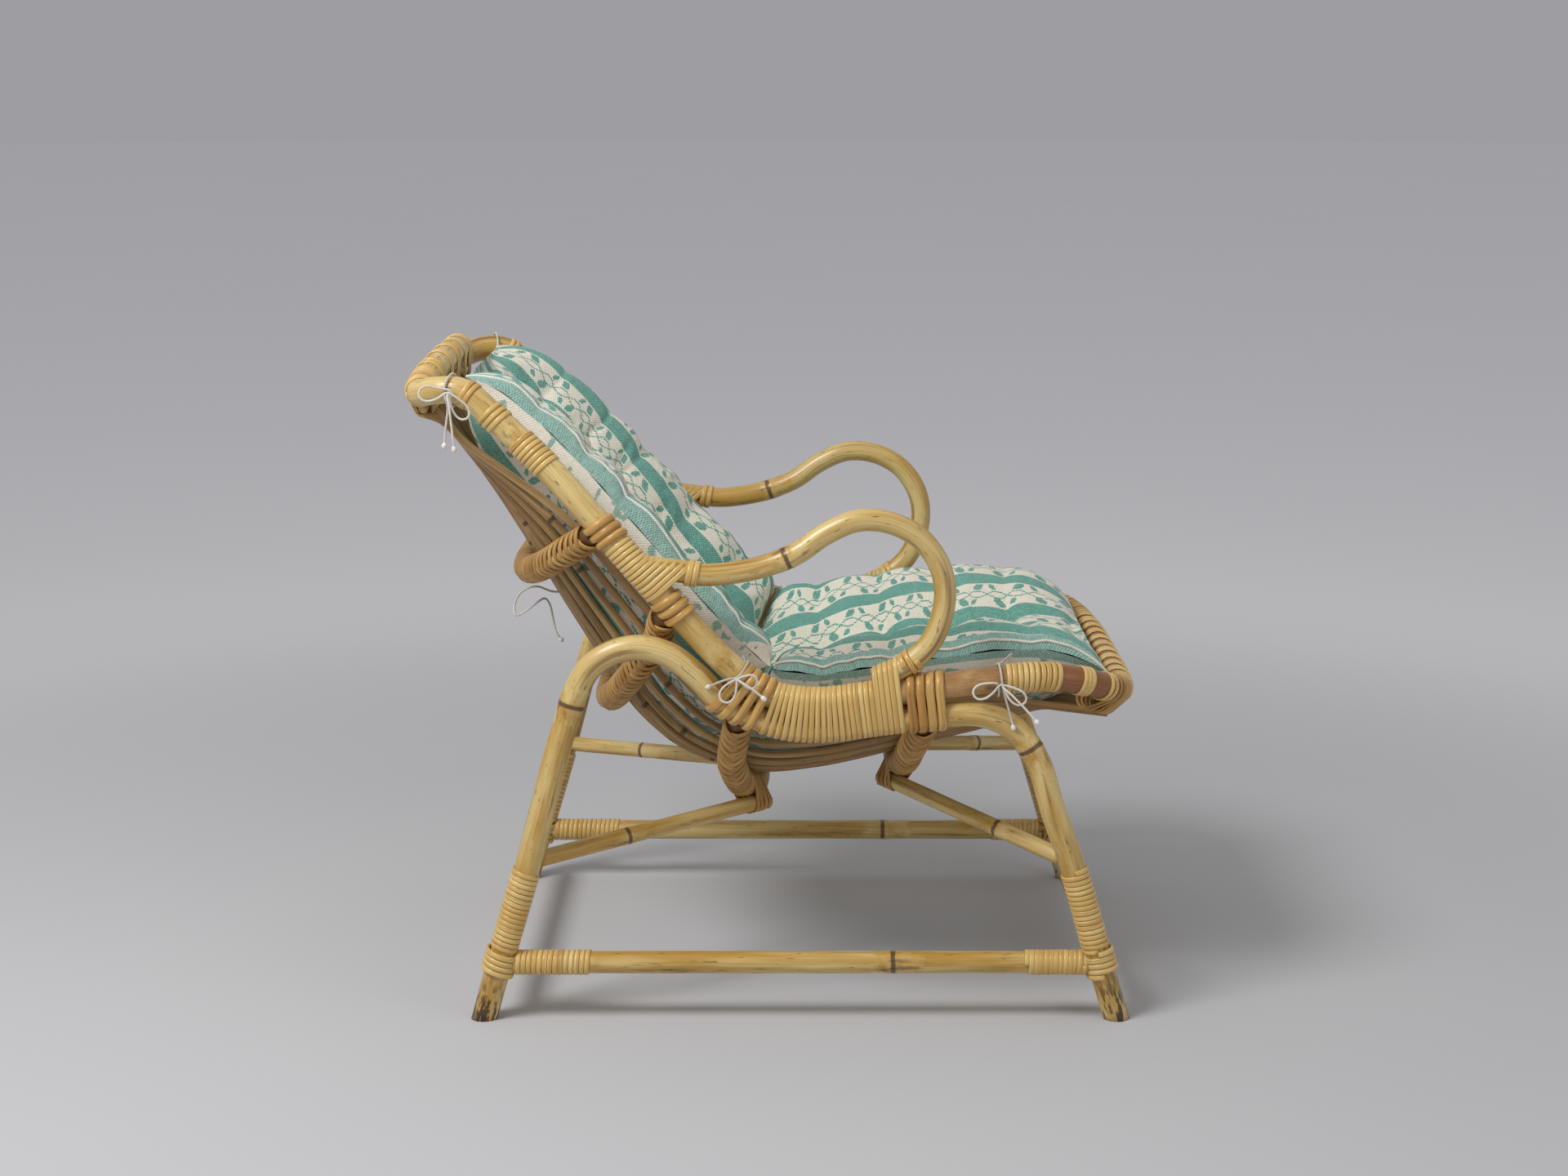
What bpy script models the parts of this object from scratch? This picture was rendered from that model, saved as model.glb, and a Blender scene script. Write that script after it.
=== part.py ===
"""Cane lounge chair with a scooped seat, two loop arms and two tied cushions.

Everything is in metres with +Z up. The chair faces -Y and stands on z = 0. Routes are written
as (side, forward, up): side from the middle plane, forward from a point above the seat, up from
the floor. The last step centres the chair on the origin.
"""
import math

import bmesh
import bpy
from mathutils import Vector

# Radii of the round stock.
RAIL_RADIUS = 0.0168
LEG_RADIUS = 0.0158
ARM_RADIUS = 0.0137
STRETCHER_RADIUS = 0.0137
BRACE_RADIUS = 0.0105
HOOP_RADIUS = 0.0160
ROD_RADIUS = 0.0060
SLAT_RADIUS = 0.0050
STRIP_RADIUS = 0.0026
TIE_RADIUS = 0.0014
SLEEVE_WALL = 0.0030

# Gap between pieces that touch.
CLEARANCE = 0.0003

# The rails, the leg poles and the arms stand in two planes this far from the middle.
HALF_WIDTH = 0.300

# The slatted shell hangs between the rails, and stops short of their planes.
SLAT_COUNT = 19
SLAT_SPREAD = math.radians(76)
SHELL_INSET = 0.050
SHELL_HALF_WIDTH = HALF_WIDTH - SHELL_INSET
TOP_SPREAD = 0.190
FRONT_SPREAD = 0.195

# One row for each rib of the shell, from the top of the back to the front of the seat: the
# rail's forward and up, how far it stands inside HALF_WIDTH, how deep the shell hangs below it,
# and how flat the shell is across (1 is flat, 0 is a half ellipse).
RIBS = (
    (-0.388, 0.776, 0.045, 0.062, 0.80),
    (-0.352, 0.748, 0.038, 0.080, 0.60),
    (-0.313, 0.713, 0.030, 0.095, 0.35),
    (-0.276, 0.678, 0.020, 0.108, 0.15),
    (-0.243, 0.642, 0.013, 0.118, 0.05),
    (-0.216, 0.612, 0.008, 0.126, 0.00),
    (-0.171, 0.562, 0.000, 0.141, 0.00),
    (-0.116, 0.500, 0.000, 0.156, 0.00),
    (-0.076, 0.457, 0.000, 0.168, 0.00),
    (-0.040, 0.425, 0.000, 0.168, 0.00),
    (-0.008, 0.409, 0.000, 0.158, 0.00),
    (0.043, 0.403, 0.000, 0.140, 0.00),
    (0.103, 0.410, 0.000, 0.130, 0.00),
    (0.154, 0.417, 0.000, 0.124, 0.00),
    (0.200, 0.423, 0.000, 0.117, 0.00),
    (0.261, 0.430, 0.002, 0.108, 0.15),
    (0.318, 0.432, 0.010, 0.086, 0.45),
    (0.370, 0.421, 0.032, 0.059, 0.80),
)
# The two halves of the rim meet at this rib, and these ribs give the slats their corners.
SEAT_JOINT_RIB = 11
SLAT_RIBS = (0, 1, 2, 4, 6, 7, 8, 9, 10, 11, 13, 15, 16, 17)

# Forward places between which the leg pole lies along the rail, and between which it is high
# enough to carry a hoop.
LASHED_SPAN = (-0.030, 0.125)
LEG_UNDER_SEAT = (-0.110, 0.250)

# The top loop and the front loop of the rim, from the corner to the middle: (side, forward, up).
TOP_LOOP = ((0.247, -0.420, 0.777), (0.219, -0.443, 0.771), (0.170, -0.444, 0.780),
            (0.100, -0.434, 0.794), (0.000, -0.426, 0.801))
FRONT_LOOP = ((0.238, 0.404, 0.406), (0.190, 0.420, 0.395), (0.100, 0.425, 0.392),
              (0.000, 0.425, 0.392))

# The anchor rods lie beside the loops: how far from the loop in the middle, and to where.
TOP_ROD_DROP = 0.029
TOP_ROD_LEAN = (0.004, -0.029)
FRONT_ROD_DROP = 0.036
FRONT_ROD_LEAN = (-0.020, -0.030)
ROD_OVERHANG = 0.010
ROD_HALF_LENGTH = max(TOP_SPREAD, FRONT_SPREAD) + ROD_OVERHANG
SLAT_LAP_GAP = 0.0010

# Side views of the leg pole and the arm: (forward, up).
REAR_LEG = ((-0.3780, -0.0200), (-0.3519, 0.0722), (-0.3122, 0.2065), (-0.2786, 0.3337),
            (-0.2623, 0.3869), (-0.2534, 0.4144), (-0.2350, 0.4460), (-0.2060, 0.4650),
            (-0.1711, 0.4702), (-0.1370, 0.4600), (-0.1063, 0.4360), (-0.0745, 0.4030))
FRONT_LEG = ((0.1957, 0.3870), (0.2414, 0.3870), (0.2805, 0.3690),
             (0.3090, 0.3295), (0.3302, 0.2646), (0.3513, 0.2065), (0.3913, 0.0722),
             (0.4187, -0.0200))
ARM = ((-0.1350, 0.5740), (-0.1076, 0.5610), (-0.0436, 0.5657), (0.0128, 0.5847),
       (0.0500, 0.6100), (0.0878, 0.6260), (0.1255, 0.6240), (0.1629, 0.6050),
       (0.1880, 0.5700), (0.1942, 0.5296), (0.1794, 0.4800), (0.1490, 0.4500),
       (0.1100, 0.4310))

# The hoops are bent by hand, and stand this far off the slats between the lashings.
HOOP_GAP = 0.0007
HOOP_NECK = 0.012

# The longest straight pieces that a bent pole is drawn with.
RIM_STEP = 0.042
POLE_STEP = 0.042
ARM_STEP = 0.032

STRETCHER_HEIGHT = 0.0722
BRACE_HEIGHT = 0.2013
BRACE_SIDE = 0.095
BRACE_PAST_HOOP = 0.016
SLEEVE_BOTTOM = 0.094
SLEEVE_TOP = 0.186

# Windings: how many turns, and between which forward places of the rail they lie.
SEAT_TURNS = 20
SEAT_WINDING = (-0.010, 0.140)
TURN_CORNERS = 8
TURN_WIDTH = 0.005
EDGE_REACH = 0.075
FRAME_REACH = 0.030
ARM_WINDING = (-0.206, -0.192, -0.178, -0.164, -0.150)
ARM_START = 5.55
SLEEVE_CORNERS = 12
SLEEVE_GAP = 0.0008

# Cushions: thickness in the middle, gap above the slats, and how far the seam stands above the
# rail's centre line and inside its plane.
CUSHION_THICKNESS = 0.066
CUSHION_LIFT = 0.0003
SEAM_RISE = 0.022
SEAM_INSET = 0.044

# The roll along each seam: its height over the seam, and where its ridge lies across (1 is at
# the seam). From UNDERSIDE_SHARE outwards the underside curls up to the seam.
ROLL_RISE = 0.024
ROLL_SHARE = 0.80
UNDERSIDE_SHARE = 0.70
UNDERSIDE_CURL = 1.6

# A cushion grows thin over the last part of its length, at the rim and at the crease.
RIM_BLEND = 0.80
RIM_FULLNESS = 8
CREASE_BLEND = 0.09

TUFT_DEPTH = 0.016
TUFT_RADIUS = 0.040
TUFT_PITCH = 0.095
TUFT_COLUMNS = tuple(TUFT_PITCH * column for column in (-2, -1, 0, 1, 2))

# Each cushion: rib places of its ends at the crease and the rim, its half width at the rim, the
# line over the rim that its edge is sewn to (forward, up), and the rows it is modelled with.
CUSHION_HALF_WIDTH = HALF_WIDTH - SEAM_INSET
FRONT_CORNER = 0.031
CUSHIONS = (
    ("cushion_back", 9.46, 0.20, TOP_SPREAD, (-0.392, 0.786), 22),
    ("cushion_seat", 9.54, 17.3, FRONT_SPREAD + FRONT_CORNER, (0.402, 0.420), 18),
)
CUSHION_COLUMNS = 14

# Hoops: the forward place of the ends, the rib place under the keel, the outermost slat that the
# hoop touches (counted from the keel), and whether the ends butt on the leg pole.
HOOPS = (
    ("hoop_upper_back", -0.2215, 4.75, 8, False),
    ("hoop_lower_back", -0.1310, 7.55, 9, False),
    ("hoop_rear_seat", -0.0480, 10.1, 6, True),
    ("hoop_front_seat", 0.1700, 12.5, 6, True),
)

# Ties on the left side: where the rail is held (forward), where the tie leaves the cushion, and
# the two loops and two tails of its bow, each as an angle below forward and a length.
TIES = (
    ("tie_top", -0.402, (0.200, -0.392, 0.782),
     ((176, 0.036), (55, 0.038)), ((97, 0.060), (84, 0.062))),
    ("tie_seat_rear", -0.056, (0.262, -0.050, 0.452),
     ((122, 0.034), (12, 0.024)), ((170, 0.036), (28, 0.036))),
    ("tie_seat_front", 0.262, (0.250, 0.280, 0.452),
     ((158, 0.036), (38, 0.036)), ((72, 0.052), (42, 0.058))),
)
# The tie at the back comes out between two slats under the upper hoop: from where it leaves the
# cushion to the end of its tail.
BACK_TIE = ((-0.007, -0.2806, 0.4869), (-0.007, -0.2852, 0.4843), (-0.007, -0.304, 0.483),
            (-0.012, -0.326, 0.491), (-0.018, -0.345, 0.484), (-0.026, -0.353, 0.468),
            (-0.040, -0.350, 0.458), (-0.050, -0.338, 0.464), (-0.049, -0.322, 0.476),
            (-0.038, -0.312, 0.480), (-0.030, -0.306, 0.470), (-0.030, -0.302, 0.450),
            (-0.034, -0.298, 0.434), (-0.032, -0.292, 0.424))
TIE_LAYER = 0.0042
BOW_POINTS = 8
BOW_WIDTH = 0.018
TAIL_SAG = 0.006

POLE_COLOUR = (0.62, 0.43, 0.17)
SLAT_COLOUR = (0.50, 0.31, 0.12)
STRIP_COLOUR = (0.58, 0.38, 0.14)
CUSHION_COLOUR = (0.42, 0.62, 0.56)
TIE_COLOUR = (0.80, 0.77, 0.70)


def clear_scene():
    for old in list(bpy.data.objects):
        bpy.data.objects.remove(old, do_unlink=True)


def at(side, forward, up):
    return Vector((side, -forward, up))


def finish(name, colour, roughness):
    material = bpy.data.materials.new(name)
    material.use_nodes = True
    shader = material.node_tree.nodes["Principled BSDF"]
    shader.inputs["Base Color"].default_value = (*colour, 1.0)
    shader.inputs["Roughness"].default_value = roughness
    shader.inputs["Metallic"].default_value = 0.0
    return material


def flow(points, step):
    """Points about one step apart on a smooth curve through the given points."""
    points = [Vector(p) for p in points]
    ends = [2 * points[0] - points[1], 2 * points[-1] - points[-2]]
    padded = [ends[0]] + points + [ends[1]]
    dense = []
    for before, start, end, after in zip(padded, padded[1:], padded[2:], padded[3:]):
        knots = [0.0]
        for a, b in ((before, start), (start, end), (end, after)):
            knots.append(knots[-1] + max((b - a).length, 1e-6) ** 0.5)
        for tick in range(12):
            t = knots[1] + (knots[2] - knots[1]) * tick / 12
            a1 = before.lerp(start, (t - knots[0]) / (knots[1] - knots[0]))
            a2 = start.lerp(end, (t - knots[1]) / (knots[2] - knots[1]))
            a3 = end.lerp(after, (t - knots[2]) / (knots[3] - knots[2]))
            b1 = a1.lerp(a2, (t - knots[0]) / (knots[2] - knots[0]))
            b2 = a2.lerp(a3, (t - knots[1]) / (knots[3] - knots[1]))
            dense.append(b1.lerp(b2, (t - knots[1]) / (knots[2] - knots[1])))
    dense.append(points[-1])
    return evenly(dense, step)


def evenly(line, step):
    """The same line with points about one step apart and its ends kept."""
    lengths = running_lengths(line)
    count = max(2, round(lengths[-1] / step) + 1)
    return [along(line, lengths, lengths[-1] * n / (count - 1)) for n in range(count)]


def along(line, lengths, distance):
    for a, b, start, end in zip(line, line[1:], lengths, lengths[1:]):
        if distance <= end:
            return a.lerp(b, (distance - start) / max(end - start, 1e-9))
    return line[-1].copy()


def running_lengths(line):
    lengths = [0.0]
    for a, b in zip(line, line[1:]):
        lengths.append(lengths[-1] + (b - a).length)
    return lengths


def tube(name, points, radius, sides, material):
    """A round pole along the points: sides is 4, 6, 8, 10 or 12."""
    curve = bpy.data.curves.new(name, "CURVE")
    curve.dimensions = "3D"
    spline = curve.splines.new("POLY")
    spline.points.add(len(points) - 1)
    for spot, point in zip(spline.points, points):
        spot.co = (*point, 1.0)
    spline.use_smooth = True
    curve.bevel_depth = radius
    curve.bevel_resolution = (sides - 4) // 2
    curve.use_fill_caps = True
    curve.materials.append(material)
    piece = bpy.data.objects.new(name, curve)
    bpy.context.collection.objects.link(piece)
    return piece


def add_mesh(name, shape, material):
    mesh = bpy.data.meshes.new(name)
    shape.to_mesh(mesh)
    shape.free()
    mesh.materials.append(material)
    mesh.shade_smooth()
    mesh.set_sharp_from_angle(angle=math.radians(40))
    piece = bpy.data.objects.new(name, mesh)
    bpy.context.collection.objects.link(piece)
    return piece


def as_mesh(piece):
    """The same object with its curve made a mesh, ready to be trimmed."""
    graph = bpy.context.evaluated_depsgraph_get()
    mesh = bpy.data.meshes.new_from_object(piece.evaluated_get(graph))
    name = piece.name
    material = piece.data.materials[0]
    bpy.data.objects.remove(piece, do_unlink=True)
    mesh.name = name
    mesh.materials.clear()
    mesh.materials.append(material)
    solid = bpy.data.objects.new(name, mesh)
    bpy.context.collection.objects.link(solid)
    return solid


def trim(piece, point, outward):
    """Saws off what lies past the plane, and closes the cut."""
    shape = bmesh.new()
    shape.from_mesh(piece.data)
    bmesh.ops.remove_doubles(shape, verts=shape.verts, dist=0.00001)
    bmesh.ops.bisect_plane(shape, geom=shape.verts[:] + shape.edges[:] + shape.faces[:],
                           plane_co=point, plane_no=outward, clear_outer=True)
    rim = [edge for edge in shape.edges if edge.is_boundary]
    bmesh.ops.contextual_create(shape, geom=rim)
    bmesh.ops.recalc_face_normals(shape, faces=shape.faces)
    shape.to_mesh(piece.data)
    shape.free()
    piece.data.shade_smooth()
    piece.data.set_sharp_from_angle(angle=math.radians(40))


def subtract(piece, cutter):
    """Copes the piece to fit a neighbour that is a little larger than the real one."""
    cutter.hide_render = True
    cutter.display_type = "WIRE"
    cut = piece.modifiers.new("cope", "BOOLEAN")
    cut.object = cutter
    cut.operation = "DIFFERENCE"
    cut.solver = "EXACT"


def mirrored(points):
    return [Vector((-p.x, p.y, p.z)) for p in points]


def rib_normal(index):
    """Unit (forward, up) square to the rail, pointing out of the shell."""
    before = RIBS[max(index - 1, 0)]
    after = RIBS[min(index + 1, len(RIBS) - 1)]
    run = Vector((after[0] - before[0], after[1] - before[1])).normalized()
    return Vector((run.y, -run.x))


def rail_point(index):
    forward, up, inset, _, _ = RIBS[index]
    return at(HALF_WIDTH - inset, forward, up)


def beside_rail(index, distance):
    """The point at a distance from the rail's centre line, on its outer side."""
    forward, up, inset, _, _ = RIBS[index]
    normal = rib_normal(index)
    return at(HALF_WIDTH - inset, forward + normal.x * distance, up + normal.y * distance)


def shell_point(index, angle):
    """The shell's middle surface at a rib, by the angle of the slat from the keel."""
    forward, up, _, depth, flat = RIBS[index]
    share = angle / SLAT_SPREAD
    end_spread = TOP_SPREAD if index < SEAT_JOINT_RIB else FRONT_SPREAD
    side = SHELL_HALF_WIDTH * math.sin(angle) * (1 - flat) + share * end_spread * flat
    drop = depth * (math.cos(angle) * (1 - flat) + flat)
    normal = rib_normal(index)
    return at(side, forward + normal.x * drop, up + normal.y * drop)


def shell_between(place, angle):
    """The shell's middle surface at a place between two ribs."""
    index = min(int(place), len(RIBS) - 2)
    return shell_point(index, angle).lerp(shell_point(index + 1, angle), place - index)


def shell_normal(place, angle):
    """Unit normal of the shell, pointing away from the sitter."""
    nudge = 0.01
    low = max(place - nudge, 0.0)
    high = min(place + nudge, len(RIBS) - 1.0)
    down = shell_between(high, angle) - shell_between(low, angle)
    across = shell_between(place, angle + nudge) - shell_between(place, angle - nudge)
    return across.cross(down).normalized()


def rail_route():
    """The left half of both rims as one line, from the top's middle to the front's middle."""
    top = [at(*spot) for spot in reversed(TOP_LOOP)]
    front = [at(*spot) for spot in FRONT_LOOP]
    return top + [rail_point(n) for n in range(len(RIBS))] + front


def rail_halves():
    """The left half of the back rim and of the front rim. Their ends meet squarely."""
    line = flow(rail_route(), RIM_STEP)
    joint = rail_point(SEAT_JOINT_RIB)
    split = min(range(len(line)), key=lambda n: (line[n] - joint).length)
    run = (line[split + 1] - line[split - 1]).normalized()
    back = line[:split] + [line[split] - run * CLEARANCE / 2]
    front = [line[split] + run * CLEARANCE / 2] + line[split + 1:]
    back[-2] = back[-1] - run * (back[-1] - back[-2]).length
    front[1] = front[0] + run * (front[1] - front[0]).length
    return back, front


def rail_line():
    """The centre line that the left rail really has, as a chain of points."""
    back, front = rail_halves()
    return back + front


def make_rims(material):
    back, front = rail_halves()
    tube("rim_back", back[::-1] + mirrored(back)[1:], RAIL_RADIUS, 10, material)
    tube("rim_front", front + mirrored(front[::-1])[1:], RAIL_RADIUS, 10, material)


def leg_route(side):
    """The leg pole: down the rear leg, over the arch, along the rail's underside, and down."""
    rail = rail_line()
    reach = RAIL_RADIUS + LEG_RADIUS + CLEARANCE * 3
    lashed = []
    for before, spot, after in zip(rail, rail[1:], rail[2:]):
        close = (spot - before).length < RIM_STEP / 2 or (after - spot).length < CLEARANCE * 2
        if close or not LASHED_SPAN[0] < -spot.y < LASHED_SPAN[1]:
            continue
        down = (after - before).cross(Vector((1, 0, 0))).normalized()
        spot = spot + (down if down.z < 0 else -down) * reach
        lashed.append(Vector((HALF_WIDTH, spot.y, spot.z)))
    rear = flow([at(HALF_WIDTH, *spot) for spot in REAR_LEG] + lashed[:1], POLE_STEP)
    front = flow(lashed[-1:] + [at(HALF_WIDTH, *spot) for spot in FRONT_LEG], POLE_STEP)
    return [Vector((p.x * side, p.y, p.z)) for p in rear + lashed[1:-1] + front]


def leg_at(route, height, rear):
    """The point of the leg pole's centre line at a height, and its direction down there."""
    line = route if rear else route[::-1]
    for low, high in zip(line, line[1:]):
        if low.z <= height <= high.z:
            share = (height - low.z) / (high.z - low.z)
            return low.lerp(high, share), (low - high).normalized()
    return line[0], Vector((0, 0, -1))


def make_legs(material):
    floor = Vector((0, 0, 0))
    for name, side in (("leg_pole_right", -1), ("leg_pole_left", 1)):
        leg = as_mesh(tube(name, leg_route(side), LEG_RADIUS, 8, material))
        trim(leg, floor, Vector((0, 0, -1)))


def arm_route(side):
    reach = RAIL_RADIUS + ARM_RADIUS + CLEARANCE * 4
    index = int(ARM_START)
    start = beside_rail(index, -reach).lerp(beside_rail(index + 1, -reach), ARM_START - index)
    start.x = HALF_WIDTH
    route = [start, beside_rail(index + 1, -reach)] + [at(HALF_WIDTH, *spot) for spot in ARM]
    return [Vector((p.x * side, p.y, p.z)) for p in flow(route, ARM_STEP)]


def make_arms(material):
    rail = [p for p in rail_line() if RIBS[4][0] < -p.y < RIBS[15][0]]
    for name, side in (("arm_right", -1), ("arm_left", 1)):
        arm = as_mesh(tube(name, arm_route(side), ARM_RADIUS, 8, material))
        line = [Vector((p.x * side, p.y, p.z)) for p in rail]
        cutter = tube(name + "_seat", line, RAIL_RADIUS + CLEARANCE * 3, 12, material)
        subtract(arm, as_mesh(cutter))


def make_stretchers(material):
    for name, side in (("side_stretcher_right", -1), ("side_stretcher_left", 1)):
        route = leg_route(side)
        rear, rear_run = leg_at(route, STRETCHER_HEIGHT, True)
        front, front_run = leg_at(route, STRETCHER_HEIGHT, False)
        bar = as_mesh(tube(name, [rear, front], STRETCHER_RADIUS, 10, material))
        for spot, run, inward in ((rear, rear_run, front - rear), (front, front_run, rear - front)):
            square = run.cross(Vector((1, 0, 0))).normalized()
            if square.dot(inward) < 0:
                square = -square
            trim(bar, spot + square * (LEG_RADIUS + CLEARANCE), -square)
    for name, rear in (("cross_stretcher_rear", True), ("cross_stretcher_front", False)):
        spot, _ = leg_at(leg_route(1), STRETCHER_HEIGHT, rear)
        reach = HALF_WIDTH - LEG_RADIUS - CLEARANCE
        ends = [Vector((-reach, spot.y, spot.z)), Vector((reach, spot.y, spot.z))]
        tube(name, ends, STRETCHER_RADIUS, 10, material)


def slat_angles():
    return [SLAT_SPREAD * (2 * n / (SLAT_COUNT - 1) - 1) for n in range(SLAT_COUNT)]


def rib_place(forward):
    """The place along the ribs of a forward coordinate of the rail."""
    for index in range(len(RIBS) - 1):
        low, high = RIBS[index][0], RIBS[index + 1][0]
        if low <= forward <= high:
            return index + (forward - low) / (high - low)
    raise ValueError("no rib there")


def hoop_routes():
    """Each hoop by name: across the underside of the slats, and up to the rail or leg pole."""
    angles = slat_angles()
    middle = SLAT_COUNT // 2
    offset = HOOP_RADIUS + SLAT_RADIUS + HOOP_GAP
    routes = {}
    for name, forward, place_keel, outermost, on_leg in HOOPS:
        line = rail_line()
        if on_leg:
            span = LEG_UNDER_SEAT
            line = [p for p in leg_route(1) if span[0] < -p.y < span[1]]
        lengths = running_lengths(line)
        anchor, run, _ = rail_frame(line, lengths, length_at_forward(line, lengths, forward))
        place_rail = rib_place(forward)
        bar = []
        for angle in angles[middle - outermost:middle + outermost + 1]:
            place = place_rail + (place_keel - place_rail) * math.cos(angle)
            bar.append(shell_between(place, angle) + shell_normal(place, angle) * offset)
        toward = bar[-1] - anchor
        toward = (toward - run * toward.dot(run)).normalized()
        radius = LEG_RADIUS if on_leg else RAIL_RADIUS
        end = anchor + toward * (radius + CLEARANCE / 2)
        neck = end + toward * HOOP_NECK
        routes[name] = mirrored([end, neck]) + bar + [neck, end]
    return routes


def make_hoops(material):
    for name, route in hoop_routes().items():
        tube(name, route, HOOP_RADIUS, 8, material)


def make_braces(material):
    hoops = hoop_routes()
    for side_name, side in (("right", -1), ("left", 1)):
        route = leg_route(side)
        for end_name, rear, hoop_name in (("rear", True, "hoop_rear_seat"),
                                          ("front", False, "hoop_front_seat")):
            hoop = [p for p in hoops[hoop_name] if p.x * side > -0.02]
            hoop.sort(key=lambda p: abs(abs(p.x) - BRACE_SIDE))
            first, second = hoop[0], hoop[1]
            share = (side * BRACE_SIDE - first.x) / (second.x - first.x)
            crossing = first.lerp(second, share)
            start, run = leg_at(route, BRACE_HEIGHT, rear)
            below = (crossing - start).cross(second - first).normalized()
            if below.z > 0:
                below = -below
            drop = HOOP_RADIUS + BRACE_RADIUS + CLEARANCE * 2
            crossing = crossing + below * drop
            end = crossing + (crossing - start).normalized() * BRACE_PAST_HOOP
            name = "brace_" + end_name + "_" + side_name
            brace = as_mesh(tube(name, [start, end], BRACE_RADIUS, 8, material))
            aim = end - start
            square = (aim - run * aim.dot(run)).normalized()
            trim(brace, start + square * (LEG_RADIUS + CLEARANCE), -square)


def rod_route(loop, lean, drop):
    """An anchor rod beside a loop, given from its middle: it lies on the loop at both ends."""
    touch = RAIL_RADIUS + ROD_RADIUS + CLEARANCE * 2
    away = Vector((0.0, -lean[0], lean[1])).normalized()
    half = []
    for share in (1.0, 0.67, 0.33, 0.0):
        reach = drop + (touch - drop) * share ** 3
        half.append(point_at_side(loop, share * ROD_HALF_LENGTH) + away * reach)
    return half + mirrored(half[::-1])[1:]


def top_rod_route():
    back, _ = rail_halves()
    return rod_route(back, TOP_ROD_LEAN, TOP_ROD_DROP)


def front_rod_route():
    _, front = rail_halves()
    return rod_route(front[::-1], FRONT_ROD_LEAN, FRONT_ROD_DROP)


def point_at_side(line, side):
    """The first point of the line that is so far to the side."""
    for a, b in zip(line, line[1:]):
        low, high = sorted((a.x, b.x))
        if low <= side <= high and high - low > 1e-6:
            return a.lerp(b, (side - a.x) / (b.x - a.x))
    raise ValueError("the line does not reach that side")


def make_rods(material):
    tube("rod_top", top_rod_route(), ROD_RADIUS, 6, material)
    tube("rod_front", front_rod_route(), ROD_RADIUS, 6, material)


def slat_end(rod, side, inner, outward):
    """Where a slat ends: lapped on the rod's outer side."""
    seat = point_at_side(rod, side)
    run = seat - inner
    run.x = 0.0
    run.normalize()
    away = (outward - run * outward.dot(run)).normalized()
    return seat + away * (ROD_RADIUS + SLAT_RADIUS + SLAT_LAP_GAP)


def make_slats(material):
    top_rod = top_rod_route()
    front_rod = front_rod_route()
    last_rib = len(RIBS) - 1
    for number, angle in enumerate(slat_angles(), 1):
        share = angle / SLAT_SPREAD
        ribs = [shell_point(n, angle) for n in SLAT_RIBS]
        top = at(0.0, *rib_normal(0))
        front = at(0.0, *rib_normal(last_rib))
        first = slat_end(top_rod, share * TOP_SPREAD, ribs[0], top)
        last = slat_end(front_rod, share * FRONT_SPREAD, ribs[-1], front)
        tube("slat_%02d" % number, [first] + ribs + [last], SLAT_RADIUS, 6, material)


def winding_reach():
    """How far a strand's centre stands from a pole's centre at the corners of a turn."""
    half_corner = math.pi / TURN_CORNERS
    return (RAIL_RADIUS + CLEARANCE + STRIP_RADIUS) / math.cos(half_corner)


def length_at_forward(line, lengths, forward):
    for a, b, start, end in zip(line, line[1:], lengths, lengths[1:]):
        if -a.y <= forward <= -b.y:
            return start + (end - start) * (forward + a.y) / (a.y - b.y)
    raise ValueError("the rail does not reach that place")


def pole_edge(route, radius, up):
    """Points along the upper or the lower edge of a pole that lies in a side's plane."""
    line = evenly(route, 0.003)
    edge = []
    for before, spot, after in zip(line, line[1:], line[2:]):
        square = (after - before).cross(Vector((1, 0, 0))).normalized()
        if (square.z > 0) != up:
            square = -square
        edge.append(spot + square * radius)
    return edge


def past_rail(edge, centre, run, away):
    """How far an edge stands past the rail in the plane of one turn."""
    reach = 0.0
    for spot in edge:
        from_centre = spot - centre
        if abs(from_centre.dot(run)) < TURN_WIDTH and from_centre.length < EDGE_REACH:
            reach = max(reach, from_centre.dot(away) - RAIL_RADIUS)
    return reach


def turn_corner(centre, outer, low, high, turn, reach):
    """One corner of a turn round the rail and round what lies along its two edges."""
    side = Vector((math.cos(turn) * reach, 0, 0))
    rise = math.sin(turn) * reach
    return centre + side + outer * (rise + (low if rise > 0 else -high))


def rail_frame(rail, lengths, distance):
    """Centre, direction and outer side of the rail at a distance along it."""
    centre = along(rail, lengths, distance)
    ahead = along(rail, lengths, min(distance + FRAME_REACH, lengths[-1]))
    behind = along(rail, lengths, max(distance - FRAME_REACH, 0.0))
    run = (ahead - behind).normalized()
    outer = run.cross(Vector((1, 0, 0))).normalized()
    return centre, run, outer if outer.z < 0 else -outer


def least_gap(route, radius):
    """The smallest gap between one turn and the next."""
    least = 1.0
    for n, spot in enumerate(route):
        for other in route[n + TURN_CORNERS // 2:n + 2 * TURN_CORNERS]:
            least = min(least, (spot - other).length - 2 * radius)
    return least


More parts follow.
